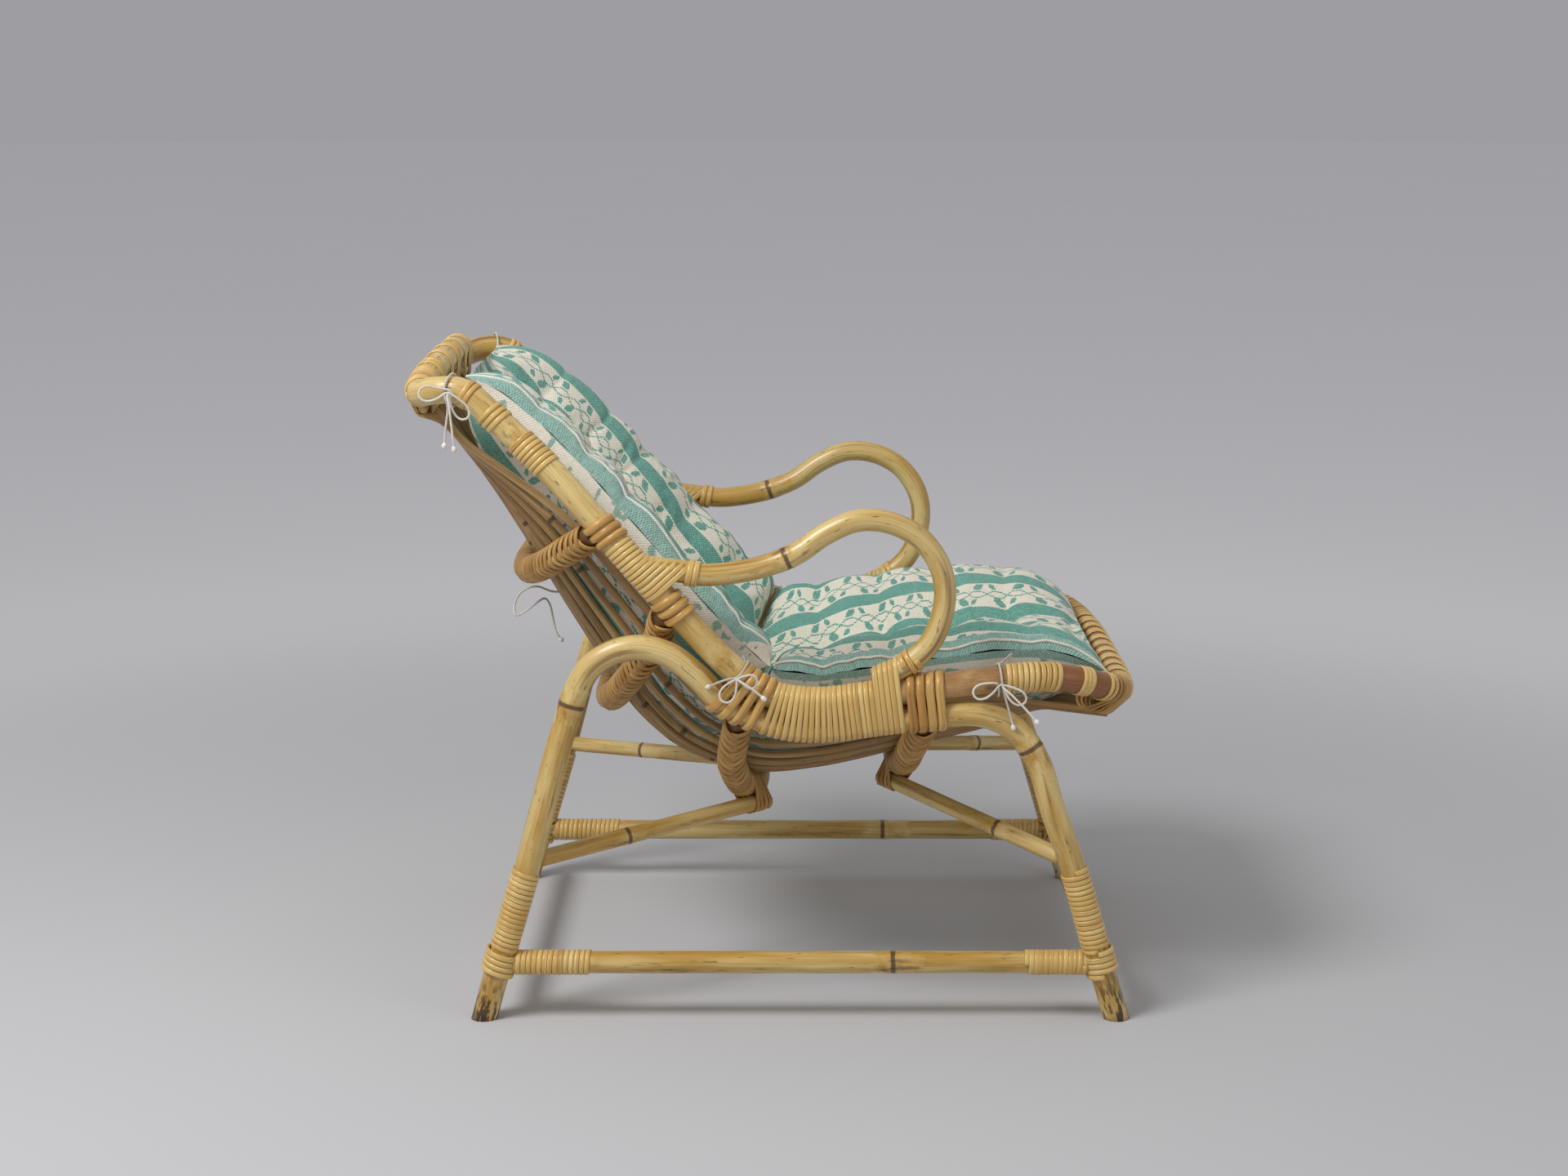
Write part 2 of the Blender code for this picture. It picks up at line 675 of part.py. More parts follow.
def make_seat_windings(material):
    """A strip wound round the rail, the leg pole under it and the arm's end on it."""
    rail = rail_line()
    lengths = running_lengths(rail)
    leg = pole_edge(leg_route(1), LEG_RADIUS, False)
    arm = pole_edge(arm_route(1)[6:], ARM_RADIUS, True)
    begin, end = [length_at_forward(rail, lengths, forward) for forward in SEAT_WINDING]
    reach = winding_reach()
    covers = []
    for n in range(SEAT_TURNS + 1):
        centre, run, outer = rail_frame(rail, lengths, begin + (end - begin) * n / SEAT_TURNS)
        covers.append((past_rail(leg, centre, run, outer), past_rail(arm, centre, run, -outer)))
    route = []
    for n in range(SEAT_TURNS * TURN_CORNERS):
        step = n / TURN_CORNERS
        distance = begin + (end - begin) * step / SEAT_TURNS
        centre, run, outer = rail_frame(rail, lengths, distance)
        before, after = covers[int(step)], covers[int(step) + 1]
        low = before[0] + (after[0] - before[0]) * (step % 1.0)
        high = before[1] + (after[1] - before[1]) * (step % 1.0)
        turn = (n + 0.5) * 2 * math.pi / TURN_CORNERS
        route.append(turn_corner(centre, outer, low, high, turn, reach))
    print("seat winding: least gap to itself %.4f m" % least_gap(route, STRIP_RADIUS))
    tube("seat_winding_left", route, STRIP_RADIUS, 6, material)
    tube("seat_winding_right", mirrored(route), STRIP_RADIUS, 6, material)


def make_arm_windings(material):
    """The closely wound lengths that hold the arms on the back rails, as plain sleeves."""
    rail = rail_line()
    lengths = running_lengths(rail)
    arm = pole_edge(arm_route(1)[:6], ARM_RADIUS, True)
    inner = (RAIL_RADIUS + SLEEVE_GAP) / math.cos(math.pi / SLEEVE_CORNERS)
    turns = [(n + 0.5) * 2 * math.pi / SLEEVE_CORNERS for n in range(SLEEVE_CORNERS + 1)]
    inside, outside = [], []
    for number, forward in enumerate(ARM_WINDING):
        distance = length_at_forward(rail, lengths, forward)
        centre, run, outer = rail_frame(rail, lengths, distance)
        high = past_rail(arm, centre, run, -outer) + 2 * SLEEVE_GAP
        if number == 0:
            high = ARM_RADIUS
        inside.append([turn_corner(centre, outer, 0.0, high, turn, inner) for turn in turns])
        wide = inner + SLEEVE_WALL
        outside.append([turn_corner(centre, outer, 0.0, high, turn, wide) for turn in turns])
    rings = inside + outside[::-1] + inside[:1]
    for name, side in (("arm_winding_left", 1), ("arm_winding_right", -1)):
        shape = bmesh.new()
        bmesh.ops.create_grid(shape, x_segments=len(rings) - 1, y_segments=SLEEVE_CORNERS, size=0.5)
        for vert in shape.verts:
            ring = rings[round((vert.co.x + 0.5) * (len(rings) - 1))]
            spot = ring[round((vert.co.y + 0.5) * SLEEVE_CORNERS)]
            vert.co = (spot.x * side, spot.y, spot.z)
        bmesh.ops.remove_doubles(shape, verts=shape.verts, dist=0.00001)
        bmesh.ops.recalc_face_normals(shape, faces=shape.faces)
        if shape.calc_volume(signed=True) < 0:
            bmesh.ops.reverse_faces(shape, faces=shape.faces)
        add_mesh(name, shape, material)


def make_leg_windings(material):
    """The wound lengths of the four legs between the stretchers and the braces."""
    sides = 10
    inner = (LEG_RADIUS + CLEARANCE) / math.cos(math.pi / sides)
    for side_name, side in (("right", -1), ("left", 1)):
        route = leg_route(side)
        for end_name, rear in (("rear", True), ("front", False)):
            low, _ = leg_at(route, SLEEVE_BOTTOM, rear)
            high, _ = leg_at(route, SLEEVE_TOP, rear)
            middle, _ = leg_at(route, (SLEEVE_BOTTOM + SLEEVE_TOP) / 2, rear)
            name = "leg_winding_" + end_name + "_" + side_name
            curve = tube(name, [low, middle, high], inner, sides, material)
            curve.data.use_fill_caps = False
            sleeve = as_mesh(curve)
            wall = sleeve.modifiers.new("wall", "SOLIDIFY")
            wall.thickness = SLEEVE_WALL
            wall.offset = 1.0
            wall.use_even_offset = True


def bow_loop(angle, length):
    """One loop of a bow, out from the knot and back: (forward, down) from the knot."""
    ahead = math.cos(math.radians(angle))
    below = math.sin(math.radians(angle))
    spots = []
    for step in range(1, BOW_POINTS):
        turn = math.pi * step / BOW_POINTS
        out = length * math.sin(turn)
        across = BOW_WIDTH / 2 * math.sin(2 * turn)
        spots.append((ahead * out - below * across, below * out + ahead * across))
    return spots


def tie_route(anchor, run, cushion, loops, tails):
    """One cord: a tail, round the pole by way of the cushion, a bow of two loops, a tail."""
    outward = Vector((1, 0, 0))
    spoke_out = (outward - run * outward.dot(run)).normalized()
    spoke_down = run.cross(spoke_out).normalized()
    if spoke_down.z > 0:
        spoke_down = -spoke_down
    corner = math.radians(45)
    round_pole = (RAIL_RADIUS + TIE_RADIUS + CLEARANCE) / math.cos(corner / 2)

    def on_pole(corners, shift):
        turn = corners * corner
        spoke = spoke_out * math.cos(turn) - spoke_down * math.sin(turn)
        return anchor + spoke * round_pole + run * shift

    def off_pole(layer, ahead, below):
        reach = RAIL_RADIUS + TIE_RADIUS + CLEARANCE + layer * TIE_LAYER
        return anchor + Vector((reach, -ahead, -below))

    def tail(angle, length, layer):
        turn = math.radians(angle)
        spots = []
        for share in (0.3, 0.65, 1.0):
            out = length * share
            below = out * math.sin(turn) + TAIL_SAG * share * share
            spots.append(off_pole(layer, out * math.cos(turn), below))
        return spots

    first = tail(*tails[0], 0)[::-1]
    clear = TIE_LAYER if tails[0][0] > 90 else -TIE_LAYER
    over = [on_pole(corners, 0.0) for corners in (0, 1, 2, 3)]
    under = [on_pole(corners, clear) for corners in (5, 6, 7)]
    bow = [off_pole(1, clear, 0.0)]
    for number, (angle, length) in enumerate(loops, 1):
        for step, (ahead, below) in enumerate(bow_loop(angle, length), 1):
            bow.append(off_pole(number + step / BOW_POINTS, ahead, below))
        bow.append(off_pole(number + 1, 0.0, 0.0))
    return first + over + [cushion] + under + bow + tail(*tails[1], len(loops) + 2)


def make_ties(material):
    rail = rail_line()
    lengths = running_lengths(rail)
    for name, forward, cushion, loops, tails in TIES:
        distance = length_at_forward(rail, lengths, forward)
        anchor, run, _ = rail_frame(rail, lengths, distance)
        route = tie_route(anchor, run, at(*cushion), loops, tails)
        tube(name + "_left", route, TIE_RADIUS, 8, material)
        tube(name + "_right", mirrored(route), TIE_RADIUS, 8, material)
    tube("tie_back", [at(*spot) for spot in BACK_TIE], TIE_RADIUS, 8, material)


def cushion_top(place, share, width, full):
    """The top of a cushion: a trough between two plump rolls along the seams."""
    index = min(int(place), len(RIBS) - 2)
    depth = shell_depth(place)
    middle = SLAT_RADIUS + CUSHION_LIFT - depth + CUSHION_THICKNESS * full
    ridge = SEAM_RISE + ROLL_RISE * full
    across = abs(share)
    if across < ROLL_SHARE:
        part = across / ROLL_SHARE
        height = ridge + (middle - ridge) * math.cos(part * math.pi / 2)
    else:
        part = (across - ROLL_SHARE) / (1 - ROLL_SHARE)
        height = SEAM_RISE + (ridge - SEAM_RISE) * (1 - part * part) ** 0.5
    low = beside_rail(index, -height)
    high = beside_rail(index + 1, -height)
    spot = low.lerp(high, place - index)
    spot.x = share * width
    return spot


def shell_depth(place):
    index = min(int(place), len(RIBS) - 2)
    return RIBS[index][3] + (RIBS[index + 1][3] - RIBS[index][3]) * (place - index)


def tuft_depth(across, along_length, length, full):
    """How far the nearest tuft pulls the fabric down at one spot of a cushion."""
    nearest = TUFT_RADIUS
    rows = round(length / TUFT_PITCH)
    for row in range(1, rows):
        for column in TUFT_COLUMNS:
            offset = Vector((across - column, along_length - row * length / rows))
            nearest = min(nearest, offset.length)
    return TUFT_DEPTH * (1 - nearest / TUFT_RADIUS) * full


def make_cushion(name, crease, rim, rim_width, rim_line, rows, material):
    """Two grids, the underside on the slats and the top over it, sewn together at the rim."""
    length = cushion_length(crease, rim)
    forward, up = rim_line
    shape = bmesh.new()
    bmesh.ops.create_grid(shape, x_segments=CUSHION_COLUMNS, y_segments=rows, size=1.0)
    tops = {}
    for vert in shape.verts:
        share = vert.co.x
        step = (vert.co.y + 1) / 2
        place = crease + (rim - crease) * step
        width = CUSHION_HALF_WIDTH + (rim_width - CUSHION_HALF_WIDTH) * step
        full = (1 - max(0.0, 2 * step - 1) ** RIM_FULLNESS) ** 0.5
        angle = share * SLAT_SPREAD
        bottom = shell_between(place, angle)
        bottom = bottom - shell_normal(place, angle) * (SLAT_RADIUS + CUSHION_LIFT)
        seam = cushion_top(place, math.copysign(1.0, share), width, 0.0)
        curl = max(0.0, (abs(share) - UNDERSIDE_SHARE) / (1 - UNDERSIDE_SHARE))
        blend = curl ** UNDERSIDE_CURL
        bottom = bottom.lerp(seam, blend)
        top = cushion_top(place, share, width, full)
        pull = tuft_depth(share * width, step * length, length, full * (1 - blend))
        top = top + shell_normal(place, 0.0) * pull
        at_rim = max(0.0, (step - RIM_BLEND) / (1 - RIM_BLEND))
        edge = at(share * width, forward, up)
        bottom = bottom.lerp(edge, at_rim ** (1.5 + 1.5 * abs(share)))
        top = top.lerp(edge, at_rim ** 3)
        at_crease = 1 - (1 - max(0.0, 1 - step / CREASE_BLEND) ** 2) ** 0.5
        seam_end = bottom.lerp(top, 0.5)
        bottom = bottom.lerp(seam_end, at_crease)
        top = top.lerp(seam_end, at_crease)
        tops[vert] = top
        vert.co = bottom
    copies = bmesh.ops.duplicate(shape, geom=shape.verts[:] + shape.edges[:] + shape.faces[:])
    for source, target in copies["vert_map"].items():
        if source in tops:
            target.co = tops[source]
    bmesh.ops.remove_doubles(shape, verts=shape.verts, dist=0.0002)
    bmesh.ops.recalc_face_normals(shape, faces=shape.faces)
    if shape.calc_volume(signed=True) < 0:
        bmesh.ops.reverse_faces(shape, faces=shape.faces)
    return add_mesh(name, shape, material)


def cushion_length(first, last):
    spots = [shell_between(first + (last - first) * n / 20, 0.0) for n in range(21)]
    return running_lengths(spots)[-1]


def make_cushions(material):
    for cushion in CUSHIONS:
        make_cushion(*cushion, material)


def centre_chair(frame):
    """Parents every piece to the frame, and moves the frame so that the chair is centred."""
    graph = bpy.context.evaluated_depsgraph_get()
    lows, highs = [], []
    pieces = [p for p in bpy.data.objects if p.type in {"MESH", "CURVE"}]
    for piece in pieces:
        if piece.hide_render or piece.name.startswith("tie_"):
            continue
        mesh = piece.evaluated_get(graph).to_mesh()
        ys = [v.co.y for v in mesh.vertices]
        lows.append(min(ys))
        highs.append(max(ys))
        piece.evaluated_get(graph).to_mesh_clear()
    middle = (min(lows) + max(highs)) / 2
    for piece in pieces:
        piece.parent = frame
    frame.location = (0.0, -middle, 0.0)
    print("chair moved forward by %.5f m, depth %.4f m" % (middle, max(highs) - min(lows)))


def main():
    clear_scene()
    frame = bpy.data.objects.new("chair", None)
    bpy.context.collection.objects.link(frame)
    pole = finish("pole cane", POLE_COLOUR, 0.42)
    slat = finish("slat cane", SLAT_COLOUR, 0.50)
    strip = finish("binding strip", STRIP_COLOUR, 0.45)
    fabric = finish("cushion fabric", CUSHION_COLOUR, 0.90)
    cord = finish("tie cord", TIE_COLOUR, 0.95)
    make_rims(pole)
    make_legs(pole)
    make_arms(pole)
    make_stretchers(pole)
    make_hoops(strip)
    make_braces(pole)
    make_rods(pole)
    make_slats(slat)
    make_seat_windings(strip)
    make_arm_windings(strip)
    make_leg_windings(strip)
    make_cushions(fabric)
    make_ties(cord)
    centre_chair(frame)


main()
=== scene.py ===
# %% [markdown]
# # A cane lounge chair with two tied cushions
#
# The real chair is bent cane: thick poles steamed to shape, a shell of thin canes hung between
# them, and every joint bound with split cane. Two printed cushions are tied to the poles with
# white cord. The engineering model already gives each pole its place, so this lesson loads it
# first, and then puts finer poles, wound strips, braids, cloth and cord where it says.

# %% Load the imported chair
import math
from collections import namedtuple

import bmesh
import bpy
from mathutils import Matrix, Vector, noise


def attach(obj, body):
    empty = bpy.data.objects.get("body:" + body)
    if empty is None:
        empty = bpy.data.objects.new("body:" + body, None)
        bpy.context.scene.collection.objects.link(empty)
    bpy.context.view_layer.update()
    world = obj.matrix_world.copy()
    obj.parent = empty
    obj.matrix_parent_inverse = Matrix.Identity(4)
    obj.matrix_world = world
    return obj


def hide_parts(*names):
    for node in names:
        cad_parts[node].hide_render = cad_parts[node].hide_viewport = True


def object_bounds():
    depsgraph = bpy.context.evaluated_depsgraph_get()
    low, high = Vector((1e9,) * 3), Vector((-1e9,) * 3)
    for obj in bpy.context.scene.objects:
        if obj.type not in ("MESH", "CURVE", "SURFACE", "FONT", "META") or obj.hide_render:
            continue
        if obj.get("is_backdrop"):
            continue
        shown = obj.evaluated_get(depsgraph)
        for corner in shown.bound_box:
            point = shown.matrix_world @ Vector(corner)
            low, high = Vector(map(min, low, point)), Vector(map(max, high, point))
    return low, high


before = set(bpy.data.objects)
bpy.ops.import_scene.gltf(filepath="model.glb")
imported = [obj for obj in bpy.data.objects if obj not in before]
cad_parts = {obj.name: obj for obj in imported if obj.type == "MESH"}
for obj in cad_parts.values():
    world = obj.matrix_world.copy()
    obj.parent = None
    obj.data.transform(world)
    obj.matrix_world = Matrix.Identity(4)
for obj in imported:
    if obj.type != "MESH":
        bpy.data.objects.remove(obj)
CAD_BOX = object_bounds()
print("packed chair:", len(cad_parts), "pieces, box", CAD_BOX)

# %% [markdown]
# The camera stood at the right side of the chair, a good three metres off, and looked a little
# down. Its place was worked out from the two side frames: the near one and the far one have the
# same size, so the difference in the photograph gives the distance.

# %% The camera
CAMERA_PLACE = Vector((-3.546, -0.00995, 1.1638))
CAMERA_PITCH = math.radians(10.814)
CAMERA_LENS = 62.918
SENSOR_WIDTH = 36.0


def aimed(direction):
    """The turn that points a camera or a lamp along a direction."""
    return direction.to_track_quat("-Z", "Y").to_matrix().to_4x4()


lens = bpy.data.cameras.new("camera")
lens.lens = CAMERA_LENS
lens.sensor_width = SENSOR_WIDTH
camera = bpy.data.objects.new("camera", lens)
bpy.context.collection.objects.link(camera)
look = Vector((math.cos(CAMERA_PITCH), 0.0, -math.sin(CAMERA_PITCH)))
camera.matrix_world = aimed(look)
camera.location = CAMERA_PLACE
bpy.context.scene.camera = camera
print("camera at", tuple(CAMERA_PLACE))

# %% [markdown]
# ## Lines
#
# Cane follows smooth lines. Every pole, strip and cord below starts as a chain of points, and
# these small functions make such chains: one draws a smooth curve through a few points, and
# the others measure along it. A place is written as (side, forward, up), the way one would
# measure the real chair.

# %% Points and smooth lines
CENTRE_SHIFT = 0.00995


def at(side, forward, up):
    """A place in the chair's own words, as a point of the scene."""
    return Vector((side, -forward - CENTRE_SHIFT, up))


def forward_of(spot):
    return -spot.y - CENTRE_SHIFT


def running_lengths(line):
    """How far along the line each of its points is."""
    lengths = [0.0]
    for a, b in zip(line, line[1:]):
        lengths.append(lengths[-1] + (b - a).length)
    return lengths


def along(line, lengths, distance):
    """The point at a distance along the line."""
    for a, b, start, end in zip(line, line[1:], lengths, lengths[1:]):
        if distance <= end:
            return a.lerp(b, (distance - start) / max(end - start, 1e-9))
    return line[-1].copy()


def evenly(line, step):
    """The same line with its points about one step apart."""
    lengths = running_lengths(line)
    count = max(2, round(lengths[-1] / step) + 1)
    return [along(line, lengths, lengths[-1] * n / (count - 1)) for n in range(count)]


CURVE_TICKS = 12


def flow(points, step):
    """Points about one step apart on a smooth curve through the given points."""
    points = [Vector(p) for p in points]
    padded = [2 * points[0] - points[1]] + points + [2 * points[-1] - points[-2]]
    dense = []
    for before, start, end, after in zip(padded, padded[1:], padded[2:], padded[3:]):
        knots = [0.0]
        for a, b in ((before, start), (start, end), (end, after)):
            knots.append(knots[-1] + max((b - a).length, 1e-6) ** 0.5)
        for tick in range(CURVE_TICKS):
            t = knots[1] + (knots[2] - knots[1]) * tick / CURVE_TICKS
            a1 = before.lerp(start, (t - knots[0]) / (knots[1] - knots[0]))
            a2 = start.lerp(end, (t - knots[1]) / (knots[2] - knots[1]))
            a3 = end.lerp(after, (t - knots[2]) / (knots[3] - knots[2]))
            b1 = a1.lerp(a2, (t - knots[0]) / (knots[2] - knots[0]))
            b2 = a2.lerp(a3, (t - knots[1]) / (knots[3] - knots[1]))
            dense.append(b1.lerp(b2, (t - knots[1]) / (knots[2] - knots[1])))
    dense.append(points[-1])
    return evenly(dense, step)


def mirrored(points):
    return [Vector((-p.x, p.y, p.z)) for p in points]


def on_side(points, side):
    return points if side > 0 else mirrored(points)


SIDES = (("right", -1), ("left", 1))
print("a smooth line takes", CURVE_TICKS, "ticks between two of its points")

# %% [markdown]
# ## The chair's own sizes
#
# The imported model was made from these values, and the finer pieces use the same ones, so that
# they lie exactly where the solids are. The long table describes the shell: one row for each
# rib, from the top of the back to the front of the seat. A row holds the rail's forward and up,
# how far it lies in from the full width, the depth of the scoop and how flat the scoop is. A
# hoop's row holds the forward place where it leaves its pole, the rib under which its middle
# hangs, how many slats it reaches on each side, and whether that pole is the leg's.

# %% Sizes of the frame and the shell
RAIL_RADIUS = 0.0168
LEG_RADIUS = 0.0158
ARM_RADIUS = 0.0137
STRETCHER_RADIUS = 0.0137
BRACE_RADIUS = 0.0105
HOOP_RADIUS = 0.0160
ROD_RADIUS = 0.0060
SLAT_RADIUS = 0.0050
TIE_RADIUS = 0.0014
HALF_WIDTH = 0.300
SLAT_COUNT = 19
SLAT_SPREAD = math.radians(76)
SHELL_HALF_WIDTH = 0.250
TOP_SPREAD = 0.190
FRONT_SPREAD = 0.195

RIBS = (
    (-0.388, 0.776, 0.045, 0.062, 0.80),
    (-0.352, 0.748, 0.038, 0.080, 0.60),
    (-0.313, 0.713, 0.030, 0.095, 0.35),
    (-0.276, 0.678, 0.020, 0.108, 0.15),
    (-0.243, 0.642, 0.013, 0.118, 0.05),
    (-0.216, 0.612, 0.008, 0.126, 0.00),
    (-0.171, 0.562, 0.000, 0.141, 0.00),
    (-0.116, 0.500, 0.000, 0.156, 0.00),
    (-0.076, 0.457, 0.000, 0.168, 0.00),
    (-0.040, 0.425, 0.000, 0.168, 0.00),
    (-0.008, 0.409, 0.000, 0.158, 0.00),
    (0.043, 0.403, 0.000, 0.140, 0.00),
    (0.103, 0.410, 0.000, 0.130, 0.00),
    (0.154, 0.417, 0.000, 0.124, 0.00),
    (0.200, 0.423, 0.000, 0.117, 0.00),
    (0.261, 0.430, 0.002, 0.108, 0.15),
    (0.318, 0.432, 0.010, 0.086, 0.45),
    (0.370, 0.421, 0.032, 0.059, 0.80),
)
SEAT_JOINT_RIB = 11
SLAT_RIBS = (0, 1, 2, 4, 6, 7, 8, 9, 10, 11, 13, 15, 16, 17)
LASHED_SPAN = (-0.030, 0.125)
LASHED_SIDE = 0.28
TOP_LOOP = ((0.247, -0.420, 0.777), (0.219, -0.443, 0.771), (0.170, -0.444, 0.780),
            (0.100, -0.434, 0.794), (0.000, -0.426, 0.801))
FRONT_LOOP = ((0.238, 0.404, 0.406), (0.190, 0.420, 0.395), (0.100, 0.425, 0.392),
              (0.000, 0.425, 0.392))
REAR_LEG = ((-0.3780, -0.0200), (-0.3519, 0.0722), (-0.3122, 0.2065), (-0.2786, 0.3337),
            (-0.2623, 0.3869), (-0.2534, 0.4144), (-0.2350, 0.4460), (-0.2060, 0.4650),
            (-0.1711, 0.4702), (-0.1370, 0.4600), (-0.1063, 0.4360), (-0.0745, 0.4030))
FRONT_LEG = ((0.1957, 0.3870), (0.2414, 0.3870), (0.2805, 0.3690),
             (0.3090, 0.3295), (0.3302, 0.2646), (0.3513, 0.2065), (0.3913, 0.0722),
             (0.4187, -0.0200))
ARM = ((-0.1350, 0.5740), (-0.1076, 0.5610), (-0.0436, 0.5657), (0.0128, 0.5847),
       (0.0500, 0.6100), (0.0878, 0.6260), (0.1255, 0.6240), (0.1629, 0.6050),
       (0.1880, 0.5700), (0.1942, 0.5296), (0.1794, 0.4800), (0.1490, 0.4500),
       (0.1100, 0.4310))
ARM_START = 5.55
PARED_LENGTH = 0.075
STRETCHER_HEIGHT = 0.0722
BRACE_HEIGHT = 0.2013
BRACE_SIDE = 0.095
HOOPS = (
    ("hoop_upper_back", -0.2215, 4.75, 8, False),
    ("hoop_lower_back", -0.1310, 7.55, 9, False),
    ("hoop_rear_seat", -0.0480, 10.1, 6, True),
    ("hoop_front_seat", 0.1700, 12.5, 6, True),
)
POLE_STEP = 0.008
print("the shell has", len(RIBS), "ribs and", SLAT_COUNT, "slats")

# %% [markdown]
# Between two ribs the shell is blended, so a place on it is a rib number with a fraction, and an
# angle round the scoop: 0 is the middle of the chair. The functions below turn these two into a
# point and into the direction that is square to the shell there.

# %% Places on the shell
NUDGE = 0.01


def rib_normal(index):
    """Unit (forward, up) square to the rail, pointing out of the shell."""
    before = RIBS[max(index - 1, 0)]
    after = RIBS[min(index + 1, len(RIBS) - 1)]
    run = Vector((after[0] - before[0], after[1] - before[1])).normalized()
    return Vector((run.y, -run.x))


def beside_rail(index, distance):
    """The point at a distance from the rail's centre line, on its outer side."""
    forward, up, inset, _, _ = RIBS[index]
    normal = rib_normal(index)
    return at(HALF_WIDTH - inset, forward + normal.x * distance, up + normal.y * distance)


def shell_point(index, angle):
    """The point of the shell at a rib and an angle round the scoop."""
    forward, up, _, depth, flat = RIBS[index]
    end_spread = TOP_SPREAD if index < SEAT_JOINT_RIB else FRONT_SPREAD
    side = SHELL_HALF_WIDTH * math.sin(angle) * (1 - flat) + angle / SLAT_SPREAD * end_spread * flat
    drop = depth * (math.cos(angle) * (1 - flat) + flat)
    normal = rib_normal(index)
    return at(side, forward + normal.x * drop, up + normal.y * drop)


def shell_between(place, angle):
    index = min(int(place), len(RIBS) - 2)
    return shell_point(index, angle).lerp(shell_point(index + 1, angle), place - index)


def shell_normal(place, angle):
    """Unit normal of the shell, pointing away from the sitter."""
    low = max(place - NUDGE, 0.0)
    high = min(place + NUDGE, len(RIBS) - 1.0)
    down = shell_between(high, angle) - shell_between(low, angle)
    across = shell_between(place, angle + NUDGE) - shell_between(place, angle - NUDGE)
    return across.cross(down).normalized()


def rib_place(forward):
    """The place on the shell, in ribs, at a forward place of the rail."""
    for index in range(len(RIBS) - 1):
        low, high = RIBS[index][0], RIBS[index + 1][0]
        if low <= forward <= high:
            return index + (forward - low) / (high - low)
    raise ValueError("no rib there")


print("middle of the seat's joint", tuple(shell_point(SEAT_JOINT_RIB, 0.0)))

# %% [markdown]
# The rims follow the edge of the shell. The leg pole lies under the rail and the arm lies on it,
# each a hair's breadth away, so that poles which touch on the real chair don't cut each other.

# %% Centre lines of the side frames
RAIL_TO_LEG_GAP = 0.0009
RAIL_TO_ARM_GAP = 0.0012


def rail_line():
    """The left half of both rims, from the middle of the top to the middle of the front."""
    top = [at(*spot) for spot in reversed(TOP_LOOP)]
    front = [at(*spot) for spot in FRONT_LOOP]
    return flow(top + [beside_rail(n, 0.0) for n in range(len(RIBS))] + front, POLE_STEP)


def leg_line():
    """The left leg pole: up the rear leg, along the rail's underside, down the front leg."""
    reach = RAIL_RADIUS + LEG_RADIUS + RAIL_TO_LEG_GAP
    lashed = []
    for before, spot, after in zip(RAIL, RAIL[1:], RAIL[2:]):
        if LASHED_SPAN[0] < forward_of(spot) < LASHED_SPAN[1] and spot.x > LASHED_SIDE:
            down = (after - before).cross(Vector((1, 0, 0))).normalized()
            spot = spot + (down if down.z < 0 else -down) * reach
            lashed.append(Vector((HALF_WIDTH, spot.y, spot.z)))
    rear = [at(HALF_WIDTH, *spot) for spot in REAR_LEG]
    front = [at(HALF_WIDTH, *spot) for spot in FRONT_LEG]
    return flow(rear + lashed[::4] + front, POLE_STEP)


def arm_line():
    """The arm: its pared start sinks into the rail, under the binding, and then it lies on it."""
    reach = RAIL_RADIUS + ARM_RADIUS + RAIL_TO_ARM_GAP
    index = int(ARM_START)
    start = beside_rail(index, -reach).lerp(beside_rail(index + 1, -reach), ARM_START - index)
    start.x = HALF_WIDTH
    inward = beside_rail(index, 0.0) - beside_rail(index, -reach)
    line = flow([start, beside_rail(index + 1, -reach)] + [at(HALF_WIDTH, *p) for p in ARM],
                POLE_STEP)
    lengths = running_lengths(line)
    sunk = [max(0.0, 1 - length / PARED_LENGTH) for length in lengths]
    return [spot + inward * (share * share * (3 - 2 * share)) for spot, share in zip(line, sunk)]


RAIL = rail_line()
LEG = leg_line()
ARM_POLE = arm_line()
print("rail %.3f m a side, leg pole %.3f m, arm %.3f m" % tuple(
    running_lengths(line)[-1] for line in (RAIL, LEG, ARM_POLE)))

# %% [markdown]
# ## Maths for the finishes
#
# A finish is a chain of nodes, and most of it is arithmetic. This class wraps one socket, so that
# the arithmetic reads as Python: adding two threads adds a Math node. Everything else, a noise or
# a mix, comes from its `node` method.

